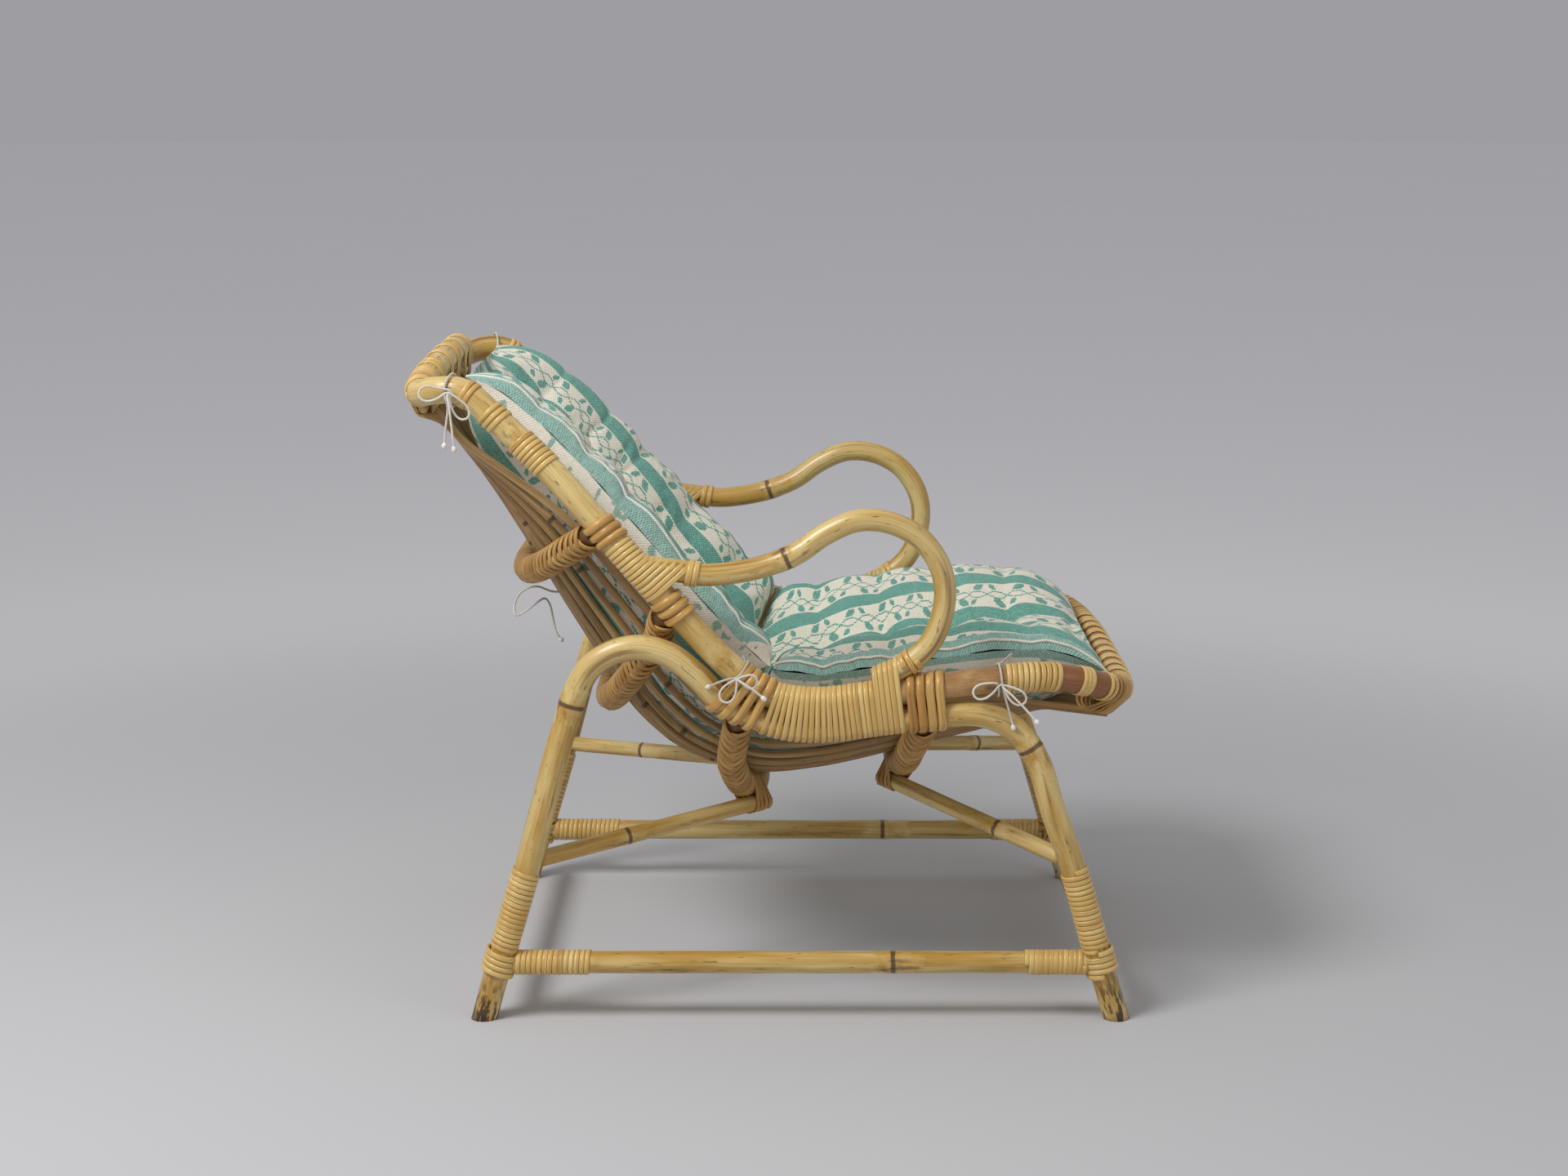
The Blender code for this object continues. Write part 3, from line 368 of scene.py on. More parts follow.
# %% A value on its way through the nodes
class Thread:
    """One value in a finish. Sums and products on it add the nodes that work them out."""

    def __init__(self, socket):
        self.socket = socket

    def node(self, kind, sockets, output=0, **settings):
        """Adds a node: first its settings, then the values or links of its sockets."""
        tree = self.socket.id_data
        made = tree.nodes.new(kind)
        for name, value in settings.items():
            setattr(made, name, value)
        for key, value in sockets.items():
            if isinstance(value, Thread):
                tree.links.new(value.socket, made.inputs[key])
            else:
                made.inputs[key].default_value = value
        return Thread(made.outputs[output])

    def maths(self, operation, first, *others):
        return self.node("ShaderNodeMath", dict(enumerate((first,) + others)), operation=operation)

    def __add__(self, other):
        return self.maths("ADD", self, other)

    def __sub__(self, other):
        return self.maths("SUBTRACT", self, other)

    def __rsub__(self, other):
        return self.maths("SUBTRACT", other, self)

    def __mul__(self, other):
        return self.maths("MULTIPLY", self, other)

    def __truediv__(self, other):
        return self.maths("DIVIDE", self, other)

    def __rtruediv__(self, other):
        return self.maths("DIVIDE", other, self)

    def __pow__(self, other):
        return self.maths("POWER", self, other)

    def __abs__(self):
        return self.maths("ABSOLUTE", self)

    def __floordiv__(self, other):
        return self.maths("FLOOR", self / other)

    def __mod__(self, other):
        return self - (self // other) * other

    __radd__ = __add__
    __rmul__ = __mul__

    def sine(self):
        return self.maths("SINE", self)

    def cosine(self):
        return self.maths("COSINE", self)

    def least(self, other):
        return self.maths("MINIMUM", self, other)

    def most(self, other):
        return self.maths("MAXIMUM", self, other)

    def ramp(self, low, high):
        """0 below low, 1 above high, and a soft step between them."""
        return self.node("ShaderNodeMapRange", {"Value": self, "From Min": low, "From Max": high},
                         interpolation_type="SMOOTHSTEP")

    def part(self, index):
        return self.node("ShaderNodeSeparateXYZ", {0: self}, output=index)

    def triple(self, x, y, z):
        return self.node("ShaderNodeCombineXYZ", {0: x, 1: y, 2: z})

    def cloud(self, scale, detail=2.0, rough=0.5):
        return self.node("ShaderNodeTexNoise", {"Vector": self, "Scale": scale, "Detail": detail,
                                                "Roughness": rough})

    def tint(self, plain, coloured):
        """The plain colour where the value is 0, the other where it is 1."""
        return self.node("ShaderNodeMix", {0: self, 6: plain, 7: coloured}, output=2,
                         data_type="RGBA")

    def bump(self, strength, depth):
        return self.node("ShaderNodeBump", {"Height": self, "Strength": strength,
                                            "Distance": depth})

    def into(self, shader, name):
        self.socket.id_data.links.new(self.socket, shader.inputs[name])


def tone(red, green, blue):
    """A colour as a paint chart writes it, 0 to 255, made linear."""
    return tuple((c / 255 / 12.92) if c < 11 else ((c / 255 + 0.055) / 1.055) ** 2.4
                 for c in (red, green, blue)) + (1.0,)


def new_finish(name):
    material = bpy.data.materials.new(name)
    material.use_nodes = True
    tree = material.node_tree
    return material, tree.nodes["Principled BSDF"], tree.nodes.new("ShaderNodeTexCoord")


# %% [markdown]
# ## The floor and the light
#
# The photograph has a plain grey floor that runs into a plain grey background with no corner.
# A very large disc does that here. Near the chair it is matt and takes the shadow. Farther out it
# turns into a plain glow, which grows a little darker with the distance, as the photograph's
# background does. One large soft lamp stands high at the rear and right of the chair, where the
# photograph's highlights come from, and a weaker one fills in.

# %% Floor, world and lamps
BACKGROUND = tone(158, 157, 162)
NEAR_GROUND = tone(186, 185, 188)
FLOOR = tone(200, 200, 202)
FLOOR_PATCH = tone(195, 195, 198)
FLOOR_RADIUS = 40.0
FLOOR_SIDES = 64
GLOW_FROM = 0.9
GLOW_FULL = 2.8
GROUND_REACH = 2.2
WORLD_STRENGTH = 0.42
LAMP_AIM = Vector((0.0, 0.0, 0.35))
LAMPS = (("key", (-1.6, 1.7, 2.9), 1.3, 74.0), ("fill", (-2.4, -2.6, 1.6), 2.0, 11.0))


def make_floor():
    shape = bmesh.new()
    bmesh.ops.create_circle(shape, cap_ends=True, segments=FLOOR_SIDES,
                              radius=FLOOR_RADIUS)
    mesh = bpy.data.meshes.new("floor")
    shape.to_mesh(mesh)
    shape.free()
    floor = bpy.data.objects.new("floor", mesh)
    bpy.context.collection.objects.link(floor)
    material, shader, place = new_finish("studio floor")
    spot = Thread(place.outputs["Object"])
    far = ((spot.part(0) ** 2.0) + (spot.part(1) ** 2.0)) ** 0.5
    shade = (GROUND_REACH / far).least(1.0) + (spot.cloud(0.9) - 0.5) * 0.06
    spot.cloud(1.3, 3.0).tint(FLOOR, FLOOR_PATCH).into(shader, "Base Color")
    shader.inputs["Roughness"].default_value = 0.9
    shader.inputs["Specular IOR Level"].default_value = 0.1
    tree = material.node_tree
    glow = tree.nodes.new("ShaderNodeEmission")
    shade.tint(BACKGROUND, NEAR_GROUND).into(glow, "Color")
    both = far.node("ShaderNodeMixShader", {0: far.ramp(GLOW_FROM, GLOW_FULL)})
    tree.links.new(shader.outputs[0], both.socket.node.inputs[1])
    tree.links.new(glow.outputs[0], both.socket.node.inputs[2])
    tree.links.new(both.socket, tree.nodes["Material Output"].inputs["Surface"])
    mesh.materials.append(material)
    floor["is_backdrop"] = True


def make_world():
    world = bpy.data.worlds.new("studio")
    world.use_nodes = True
    bpy.context.scene.world = world
    tree = world.node_tree
    light = tree.nodes["Background"]
    light.inputs["Color"].default_value = (1.0, 1.0, 1.0, 1.0)
    light.inputs["Strength"].default_value = WORLD_STRENGTH
    seen = tree.nodes.new("ShaderNodeBackground")
    seen.inputs["Color"].default_value = BACKGROUND
    path = tree.nodes.new("ShaderNodeLightPath")
    mix = tree.nodes.new("ShaderNodeMixShader")
    tree.links.new(path.outputs["Is Camera Ray"], mix.inputs[0])
    tree.links.new(light.outputs[0], mix.inputs[1])
    tree.links.new(seen.outputs[0], mix.inputs[2])
    tree.links.new(mix.outputs[0], tree.nodes["World Output"].inputs["Surface"])


def make_lamp(name, place, size, power):
    lamp = bpy.data.lights.new(name, "AREA")
    lamp.shape = "DISK"
    lamp.size = size
    lamp.energy = power
    holder = bpy.data.objects.new(name, lamp)
    holder.matrix_world = aimed(LAMP_AIM - Vector(place))
    holder.location = place
    bpy.context.collection.objects.link(holder)


make_floor()
make_world()
for lamp_row in LAMPS:
    make_lamp(*lamp_row)
bpy.context.scene.view_settings.view_transform = "Standard"
print("floor, world and", len(LAMPS), "lamps")

# %% [markdown]
# ## Finishes for cane
#
# Old varnished cane is straw yellow where it is smooth, brown where it was bent over a flame, and
# it has fine fibres that run lengthwise, dark flecks and cracks, and a ragged brown ring at each
# joint of the plant. Every piece carries a map of its own: the first number is the distance along
# it in metres, the second goes once round it. The finish reads that map, so the fibres follow
# each bend. A painted value called Mark says where the rings are. On the bar under each plait it
# is full all along, so that bar takes the rings' dark brown as painted shade in the gaps between
# the strips. The legs are stained dark near the floor, and the front rim is worn to brown at the
# front of the seat.

# %% Cane, strip and braid
CRACK = tone(84, 50, 22)
FLECK = tone(64, 38, 18)
# Dark brown of the plant's rings; the same colour is the painted shade on the bar under each plait.
RING_AND_SHADE_BROWN = tone(74, 44, 20)
WORN_BROWN = tone(136, 78, 34)
DIRT = tone(40, 26, 16)
WORN_FROM = 0.27
WORN_FULL = 0.35
DIRT_TOP = 0.075


def cane_finish(name, light, deep, burnt, fibre, gloss, rough, stained=False, browned=False):
    material, shader, place = new_finish(name)
    own = Thread(place.outputs["UV"])
    run = own.part(0)
    turn = own.part(1) * (2 * math.pi)
    swing = turn.sine()
    sway = turn.cosine()

    def grain(lengthwise, across, scale, detail=2.0):
        return own.triple(run * lengthwise, swing * across, sway * across).cloud(scale, detail)

    fibres = grain(9.0, 24.0, 1.0, 3.0)
    patches = grain(11.0, 0.9, 1.0, 3.0)
    tones = grain(2.3, 0.25, 1.0, 1.0)
    flecks = grain(80.0, 6.0, 1.0, 2.0).ramp(0.66, 0.72)
    scorch = grain(7.0, 1.3, 1.0, 4.0).ramp(0.56, 0.70)
    cracks = grain(16.0, 34.0, 1.0, 2.0).ramp(0.66, 0.70)
    mark = own.node("ShaderNodeAttribute", {}, output=2, attribute_name="Mark")
    colour = (patches * 0.7 + tones * 0.5).ramp(0.44, 0.74).tint(light, deep)
    colour = (fibres.ramp(0.45, 0.75) * fibre).tint(colour, burnt)
    colour = (scorch * 0.66).tint(colour, burnt)
    colour = (cracks * 0.55).tint(colour, CRACK)
    colour = (flecks * 0.70).tint(colour, FLECK)
    # The rings' mask. It is full on the bar under each plait, and there it paints shade.
    ring_and_core_shade = (mark * (0.25 + fibres * 0.9 + patches * 0.5)).ramp(0.30, 0.85)
    colour = (ring_and_core_shade * 0.85).tint(colour, RING_AND_SHADE_BROWN)
    if browned:
        forward = Thread(place.outputs["Object"]).part(1) * -1.0
        worn = (forward + (0.5 - patches) * 0.10).ramp(WORN_FROM, WORN_FULL)
        colour = (worn * (0.62 + fibres * 0.5)).tint(colour, WORN_BROWN)
    if stained:
        height = Thread(place.outputs["Object"]).part(2)
        dirt = (height + (0.5 - patches) * 0.09).ramp(DIRT_TOP, 0.0)
        spots = grain(70.0, 3.0, 1.0, 4.0).ramp(0.47, 0.56)
        colour = (dirt * spots * 0.92).tint(colour, DIRT)
    colour.into(shader, "Base Color")
    (rough + fibres * 0.22 + flecks * 0.2).into(shader, "Roughness")
    relief = fibres * 0.5 + patches * 0.4 - ring_and_core_shade * 0.8 - flecks * 0.6
    relief.bump(0.55, 0.0006).into(shader, "Normal")
    shader.inputs["Coat Weight"].default_value = gloss
    shader.inputs["Coat Roughness"].default_value = 0.22
    shader.inputs["Specular IOR Level"].default_value = 0.4
    return material


POLE = cane_finish("varnished pole", tone(224, 198, 132), tone(190, 148, 64), tone(112, 70, 28),
                   0.42, 0.5, 0.28, stained=True)
DARK_POLE = cane_finish("brown pole", tone(192, 152, 96), tone(158, 114, 66), tone(92, 56, 28),
                        0.60, 0.5, 0.26, browned=True)
SLAT = cane_finish("slat", tone(188, 156, 102), tone(150, 112, 66), tone(92, 62, 36),
                   0.46, 0.25, 0.40)
STRIP = cane_finish("split cane", tone(232, 201, 128), tone(215, 172, 92), tone(142, 98, 44),
                    0.36, 0.5, 0.26)
LOOP = cane_finish("thick split cane", tone(221, 180, 102), tone(188, 136, 64),
                   tone(112, 70, 32), 0.44, 0.5, 0.28)
BRAID = cane_finish("braided cane", tone(209, 167, 94), tone(172, 124, 58), tone(92, 58, 28),
                    0.55, 0.3, 0.38)
print("six cane finishes")

# %% [markdown]
# ## One skin for every pole and strip
#
# A pole and a flat strip differ only in the shape of their cut: round for one, a flattened oval
# for the other. Both are rolled from a grid here. Each row of the grid becomes one ring, the
# seam is welded and the ends are closed. The grid's own places, before they are moved, give the
# map that the finishes read.

# %% Roll a grid into a skin
WELD = 0.000001


def add_skin(shape, rings, marks=None, offset=0.0):
    """Adds one closed skin over the rings to the mesh that is being made."""
    last = len(rings) - 1
    around = len(rings[0])
    uv = shape.loops.layers.uv.verify()
    mark = shape.verts.layers.float.get("Mark") or shape.verts.layers.float.new("Mark")
    made = bmesh.ops.create_grid(shape, x_segments=last, y_segments=around, size=0.5)["verts"]
    length = sum((b[0] - a[0]).length for a, b in zip(rings, rings[1:]))
    for face in {face for vert in made for face in vert.link_faces}:
        face.smooth = True
        for loop in face.loops:
            spot = loop.vert.co
            loop[uv].uv = (offset + (spot.x + 0.5) * length, spot.y + 0.5)
    for vert in made:
        ring = round((vert.co.x + 0.5) * last)
        if marks:
            vert[mark] = marks[ring]
        vert.co = rings[ring][round((vert.co.y + 0.5) * around) % around]
    bmesh.ops.remove_doubles(shape, verts=made, dist=WELD)
    made = [vert for vert in made if vert.is_valid]
    rims = [edge for edge in {e for vert in made for e in vert.link_edges} if edge.is_boundary]
    bmesh.ops.holes_fill(shape, edges=rims, sides=0)


def finish_piece(name, shape, material, nodes=()):
    """Turns the mesh into a piece of the chair that rides on its frame."""
    bmesh.ops.recalc_face_normals(shape, faces=shape.faces)
    mesh = bpy.data.meshes.new(name)
    shape.to_mesh(mesh)
    shape.free()
    mesh.materials.append(material)
    piece = bpy.data.objects.new(name, mesh)
    bpy.context.collection.objects.link(piece)
    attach(piece, "root")
    if nodes:
        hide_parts(*nodes)
    return piece


def cross_frames(line):
    """The line's direction at each point, and two directions square to it that don't twist."""
    side = (line[1] - line[0]).orthogonal().normalized()
    for n in range(len(line)):
        run = (line[min(n + 1, len(line) - 1)] - line[max(n - 1, 0)]).normalized()
        side = (side - run * side.dot(run)).normalized()
        yield run, side, run.cross(side)


print("grids are rolled and welded at %.0e m" % WELD)

# %% [markdown]
# ## Poles
#
# A cane pole is round, but never quite: it swells a little at each ring of the plant. The rings
# are given by their places in the side view. The legs are sawn level with the floor.

# %% A pole along a line
RING_SWELL = 0.0010
SWELL_WIDTH = 0.009
RING_GROOVE = 0.0007
RING_WIDTH = 0.0024
HALO_SHARE = 0.32
HALO_WIDTH = 0.016
RING_ZONE = 0.035
RING_PARTS = 5
WOBBLE = 0.0004
WOBBLE_RATE = 14.0
NO_RING = 1.0
LOWEST_POINT = 0.006
PAST_FLOOR = 1.03


def pole_rings(line, radius, sides, knots, seed):
    """Rings of a pole, and how strongly each ring is marked as a joint of the plant."""
    lengths = running_lengths(line)
    knot_places = []
    for forward, up in knots:
        near = [abs(forward_of(p) - forward) + abs(p.z - up) for p in line]
        knot_places.append(lengths[near.index(min(near))])
    rings, marks = [], []
    for spot, length, (run, side, other) in zip(line, lengths, cross_frames(line)):
        away = min([abs(length - place) for place in knot_places] or [NO_RING])
        mark = math.exp(-(away / RING_WIDTH) ** 2) + HALO_SHARE * math.exp(-(away / HALO_WIDTH) ** 2)
        swell = RING_SWELL * math.exp(-(away / SWELL_WIDTH) ** 2) - RING_GROOVE * mark
        wobble = noise.noise(Vector((length * WOBBLE_RATE, seed * 3.7, 0.0))) * WOBBLE
        ring = []
        for n in range(sides):
            turn = 2 * math.pi * n / sides
            spoke = side * math.cos(turn) + other * math.sin(turn)
            ring.append(spot + spoke * (radius + swell + wobble))
        rings.append(ring)
        marks.append(mark)
    return rings, marks


def refine(line, knots):
    """Adds points round each ring of the plant, where the pole changes shape quickly."""
    fine = []
    for a, b in zip(line, line[1:]):
        fine.append(a)
        near = min([abs(forward_of(a) - f) + abs(a.z - u) for f, u in knots] or [NO_RING])
        if near < RING_ZONE:
            fine += [a.lerp(b, part / RING_PARTS) for part in range(1, RING_PARTS)]
    return fine + [line[-1]]


def saw_level(ring, run):
    """Moves a ring's points along the pole to the floor."""
    return [spot - run * (spot.z / run.z) for spot in ring]


def make_pole(name, line, radius, knots, seed, material=POLE, sides=24,
              nodes=None, on_floor=False):
    """A pole along its line. One that stands on the floor is sawn level at both ends."""
    line = refine(line, knots)
    if on_floor:
        line = [p for p in line if p.z > LOWEST_POINT]
        tips = [line[0] + (line[0] - line[1]).normalized() * (line[0].z * PAST_FLOOR),
                line[-1] + (line[-1] - line[-2]).normalized() * (line[-1].z * PAST_FLOOR)]
        line = [tips[0]] + line + [tips[1]]
    rings, marks = pole_rings(line, radius, sides, knots, seed)
    if on_floor:
        rings[0] = saw_level(rings[0], line[1] - line[0])
        rings[-1] = saw_level(rings[-1], line[-2] - line[-1])
    shape = bmesh.new()
    add_skin(shape, rings, marks, offset=seed * 1.7)
    return finish_piece(name, shape, material, nodes or (name,))


print("a pole swells by %.1f mm at its rings" % (RING_SWELL * 1000))

# %% [markdown]
# The rims are one smooth line in the drawing but two poles in the chair, which meet under the
# seat's winding. The front one is darker than the back one and turns brown at the front of the
# seat. The leg poles go up from the rear foot, lie under the rail and come down to the front foot
# in one piece.

# %% Rims, leg poles and arms
BACK_RIM_RINGS = ((-0.338, 0.735), (-0.077, 0.459))
FRONT_RIM_RINGS = ((0.235, 0.427),)
RIM_START_SHARE = 0.04
LEG_RINGS = ((-0.262, 0.400), (0.300, 0.345))
ARM_RINGS = {"right": ((0.0035, 0.5810),), "left": ((-0.0205, 0.5810),)}


def make_rims():
    """Parts the rim line at the seat's winding and makes a pole of each half."""
    joint = beside_rail(SEAT_JOINT_RIB, 0.0)
    split = min(range(len(RAIL)), key=lambda n: (RAIL[n] - joint).length)
    back = RAIL[:split + 1]
    front = [RAIL[split].lerp(RAIL[split + 1], RIM_START_SHARE)] + RAIL[split + 1:]
    make_pole("rim_back_pole", back[::-1] + mirrored(back)[1:], RAIL_RADIUS, BACK_RIM_RINGS, 1.0,
              nodes=("rim_back",))
    make_pole("rim_front_pole", front + mirrored(front[::-1])[1:], RAIL_RADIUS, FRONT_RIM_RINGS,
              2.0, material=DARK_POLE, nodes=("rim_front",))


make_rims()
for name, side in SIDES:
    make_pole("leg_pole_%s_fine" % name, on_side(LEG, side), LEG_RADIUS, LEG_RINGS, 4.0 + side,
              nodes=("leg_pole_" + name,), on_floor=True)
    make_pole("arm_%s_fine" % name, on_side(ARM_POLE, side), ARM_RADIUS, ARM_RINGS[name],
              7.0 + side, nodes=("arm_" + name,))
print("rims, leg poles and arms")

# %% [markdown]
# Stretchers are straight lengths. Each runs from just inside one leg pole to just inside the
# next. The anchor rods are thin, and bend from the rim's inner side at their ends to a little
# below it in the middle.

# %% Stretchers and anchor rods
TOP_ROD_DROP = 0.029
TOP_ROD_LEAN = (0.004, -0.029)
FRONT_ROD_DROP = 0.036
FRONT_ROD_LEAN = (-0.020, -0.030)
ROD_HALF_LENGTH = 0.205
ROD_SHARES = (1.0, 0.67, 0.33, 0.0)
ROD_GAP = 0.0006
LEG_SINK = 0.002
STRETCHER_RING = 0.139
RING_SHIFT = 0.004
REAR_STRETCHER_RING = -0.262


def leg_at(height, rear):
    """The point of the left leg pole at a height, and its direction there, downwards."""
    line = LEG if rear else LEG[::-1]
    for low, high in zip(line, line[1:]):
        if low.z <= height <= high.z:
            share = (height - low.z) / (high.z - low.z)
            return low.lerp(high, share), (low - high).normalized()
    raise ValueError("the leg does not reach that height")


def straight(start, end):
    return evenly([start, end], POLE_STEP)


def point_at_side(line, side):
    for a, b in zip(line, line[1:]):
        low, high = sorted((a.x, b.x))
        if low <= side <= high and high - low > 1e-6:
            return a.lerp(b, (side - a.x) / (b.x - a.x))
    raise ValueError("the line does not reach that side")


def rod_line(loop, lean, drop):
    """A rod that touches the rim at its ends and lies away from it in the middle."""
    touch = RAIL_RADIUS + ROD_RADIUS + ROD_GAP
    away = Vector((0.0, -lean[0], lean[1])).normalized()
    half = []
    for share in ROD_SHARES:
        reach = drop + (touch - drop) * share ** 3
        half.append(point_at_side(loop, share * ROD_HALF_LENGTH) + away * reach)
    return flow(half + mirrored(half[::-1])[1:], POLE_STEP)


TOP_ROD = rod_line(RAIL, TOP_ROD_LEAN, TOP_ROD_DROP)
FRONT_ROD = rod_line(RAIL[::-1], FRONT_ROD_LEAN, FRONT_ROD_DROP)
make_pole("rod_top_fine", TOP_ROD, ROD_RADIUS, (), 10.0, sides=12, nodes=("rod_top",))
make_pole("rod_front_fine", FRONT_ROD, ROD_RADIUS, (), 11.0, sides=12, nodes=("rod_front",))

REAR_LOW, _ = leg_at(STRETCHER_HEIGHT, True)
FRONT_LOW, _ = leg_at(STRETCHER_HEIGHT, False)
INTO_LEG = LEG_RADIUS - LEG_SINK
SIDE_STRETCHER = straight(REAR_LOW + (FRONT_LOW - REAR_LOW).normalized() * INTO_LEG,
                          FRONT_LOW + (REAR_LOW - FRONT_LOW).normalized() * INTO_LEG)
for name, side in SIDES:
    rings = ((STRETCHER_RING + RING_SHIFT * side, STRETCHER_HEIGHT),
             (REAR_STRETCHER_RING, STRETCHER_HEIGHT))
    make_pole("side_stretcher_%s_fine" % name, on_side(SIDE_STRETCHER, side), STRETCHER_RADIUS,
              rings, 12.0 + side, nodes=("side_stretcher_" + name,))
CROSS_STRETCHERS = {}
for name, low in (("rear", REAR_LOW), ("front", FRONT_LOW)):
    reach = HALF_WIDTH - INTO_LEG
    line = straight(Vector((-reach, low.y, low.z)), Vector((reach, low.y, low.z)))
    CROSS_STRETCHERS[name] = line
    make_pole("cross_stretcher_%s_fine" % name, line, STRETCHER_RADIUS, (), 15.0 + reach,
              nodes=("cross_stretcher_" + name,))
print("rods and stretchers")

# %% [markdown]
# ## The slats
#
# Nineteen thin canes run side by side from the top rod, down the back and along the seat to the
# front rod. They are the same pole made thinner, each with its own start on the map, so that no
# two look alike.

# %% Nineteen slats
SLAT_LAP_GAP = 0.0010
SLAT_STEP = 0.010


def slat_angles():
    return [SLAT_SPREAD * (2 * n / (SLAT_COUNT - 1) - 1) for n in range(SLAT_COUNT)]


def slat_end(rod, side, inner, outward):
    """Where a slat ends, on the outer side of its rod."""
    seat = point_at_side(rod, side)
    run = seat - inner
    run.x = 0.0
    run.normalize()
    away = (outward - run * outward.dot(run)).normalized()
    return seat + away * (ROD_RADIUS + SLAT_RADIUS + SLAT_LAP_GAP)


def make_slats():
    last_rib = len(RIBS) - 1
    outward = [Vector((0.0, -n.x, n.y)) for n in (rib_normal(0), rib_normal(last_rib))]
    for number, angle in enumerate(slat_angles(), 1):
        share = angle / SLAT_SPREAD
        ribs = [shell_point(n, angle) for n in SLAT_RIBS]
        first = slat_end(TOP_ROD, share * TOP_SPREAD, ribs[0], outward[0])
        last = slat_end(FRONT_ROD, share * FRONT_SPREAD, ribs[-1], outward[1])
        line = flow([first] + ribs + [last], SLAT_STEP)
        ringed = (line[19 + number * 7 % 11], line[62 - number * 5 % 17])
        knots = [(forward_of(p), p.z) for p in ringed]
        make_pole("slat_%02d_fine" % number, line, SLAT_RADIUS, knots, 20.0 + number * 1.3,
                  material=SLAT, sides=10, nodes=("slat_%02d" % number,))


make_slats()
print("slats:", SLAT_COUNT)

# %% [markdown]
# ## Hoops and their braid
#
# Four hoops pass under the slats and carry them. Each is bound with a plait of split cane that
# shows a row of arrowheads on its outer side. The plait here is made of short strips that start
# behind the hoop, come round from the left or the right, slope down and dive under the next one
# at the middle line. The bar under the strips is painted dark brown, as painted shade in the gaps
# between them.

# %% Hoop lines
HOOP_GAP = 0.0007
HOOP_NECK = 0.012
HOOP_SINK = 0.001
HOOP_STEP = 0.006


def frame_at(line, lengths, distance, reach=0.02):
    """Centre, direction and outer side of a pole at a distance along it."""
    centre = along(line, lengths, distance)
    ahead = along(line, lengths, min(distance + reach, lengths[-1]))
    behind = along(line, lengths, max(distance - reach, 0.0))
    run = (ahead - behind).normalized()
    outer = run.cross(Vector((1, 0, 0))).normalized()
    return centre, run, outer if outer.z < 0 else -outer


def height_of(spot):
    return spot.z


def length_where(line, measure, value):
    """How far along a line a measure of its points, which grows, comes to a value."""
    lengths = running_lengths(line)
    for a, b, start, end in zip(line, line[1:], lengths, lengths[1:]):
        low, high = measure(a), measure(b)
        if low <= value <= high:
            return start + (end - start) * (value - low) / (high - low)
    raise ValueError("the pole does not reach that place")


RAIL_SIDE = [p for p in RAIL if p.x > 0.215 and p.z > 0.39]
RAIL_LENGTHS = running_lengths(RAIL_SIDE)
LEG_TOP = [p for p in LEG if -0.110 < forward_of(p) < 0.250 and p.z > 0.3]


def hoop_lines():
    """Each hoop from its pole, out under the slats and back to the other pole."""
    middle = SLAT_COUNT // 2
    offset = HOOP_RADIUS + SLAT_RADIUS + HOOP_GAP
    lines = {}
    for name, forward, place_keel, outermost, on_leg in HOOPS:
        line = LEG_TOP if on_leg else RAIL_SIDE
        lengths = running_lengths(line)
        anchor, run, _ = frame_at(line, lengths, length_where(line, forward_of, forward))
        place_rail = rib_place(forward)
        bar = []
        for angle in slat_angles()[middle - outermost:middle + outermost + 1]:
            place = place_rail + (place_keel - place_rail) * math.cos(angle)
            bar.append(shell_between(place, angle) + shell_normal(place, angle) * offset)
        toward = bar[-1] - anchor
        toward = (toward - run * toward.dot(run)).normalized()
        end = anchor + toward * ((LEG_RADIUS if on_leg else RAIL_RADIUS) - HOOP_SINK)
        neck = end + toward * HOOP_NECK
        lines[name] = flow(mirrored([end, neck]) + bar + [neck, end], HOOP_STEP)
    return lines


HOOP_LINES = hoop_lines()
print("hoop lines:", {name: len(line) for name, line in HOOP_LINES.items()})

# %% [markdown]
# A brace is a straight length that leaves its leg, goes on under the nearer hoop of the seat and
# stops a little past it. Where it crosses is kept for its lashing.

# %% Braces
BRACE_PAST_HOOP = 0.016
BRACE_GAP = 0.0016
BRACE_HOOPS = (("rear", True, "hoop_rear_seat"), ("front", False, "hoop_front_seat"))
BRACE_ENDS = []


def make_braces():
    for side_name, side in SIDES:
        for end_name, rear, hoop_name in BRACE_HOOPS:
            hoop = [p for p in HOOP_LINES[hoop_name] if p.x * side > -0.02]
            hoop.sort(key=lambda p: abs(abs(p.x) - BRACE_SIDE))
            meeting = hoop[0]
            start, run = leg_at(BRACE_HEIGHT, rear)
            start = Vector((start.x * side, start.y, start.z))
            below = (meeting - start).cross(hoop[1] - hoop[0]).normalized()
            if below.z > 0:
                below = -below
            meeting = meeting + below * (HOOP_RADIUS + BRACE_RADIUS + BRACE_GAP)
            aim = (meeting - start).normalized()
            BRACE_ENDS.append((end_name + "_" + side_name, hoop[0],
                               (hoop[1] - hoop[0]).normalized(), meeting, aim))
            line = straight(start + aim * INTO_LEG, meeting + aim * BRACE_PAST_HOOP)
            ring = line[len(line) * 3 // 8] if rear else line[len(line) // 3]
            make_pole("brace_%s_%s_fine" % (end_name, side_name), line, BRACE_RADIUS,
                      ((forward_of(ring), ring.z),), 30.0 + side + 3 * rear, sides=20,
                      nodes=("brace_%s_%s" % (end_name, side_name),))


make_braces()
print("braces:", len(BRACE_ENDS))

# %% [markdown]
# A strip is a ring of a few points carried along a path: wide along the pole, thin away from
# it. The same small ring makes the plait, the closely wound bindings and the thick loops.

# %% The cut of a strip, and the plait
FLAT_CUT = ((0.50, -0.10), (0.41, 0.34), (0.16, 0.50), (-0.16, 0.50), (-0.41, 0.34),
            (-0.50, -0.10), (0.0, -0.50))


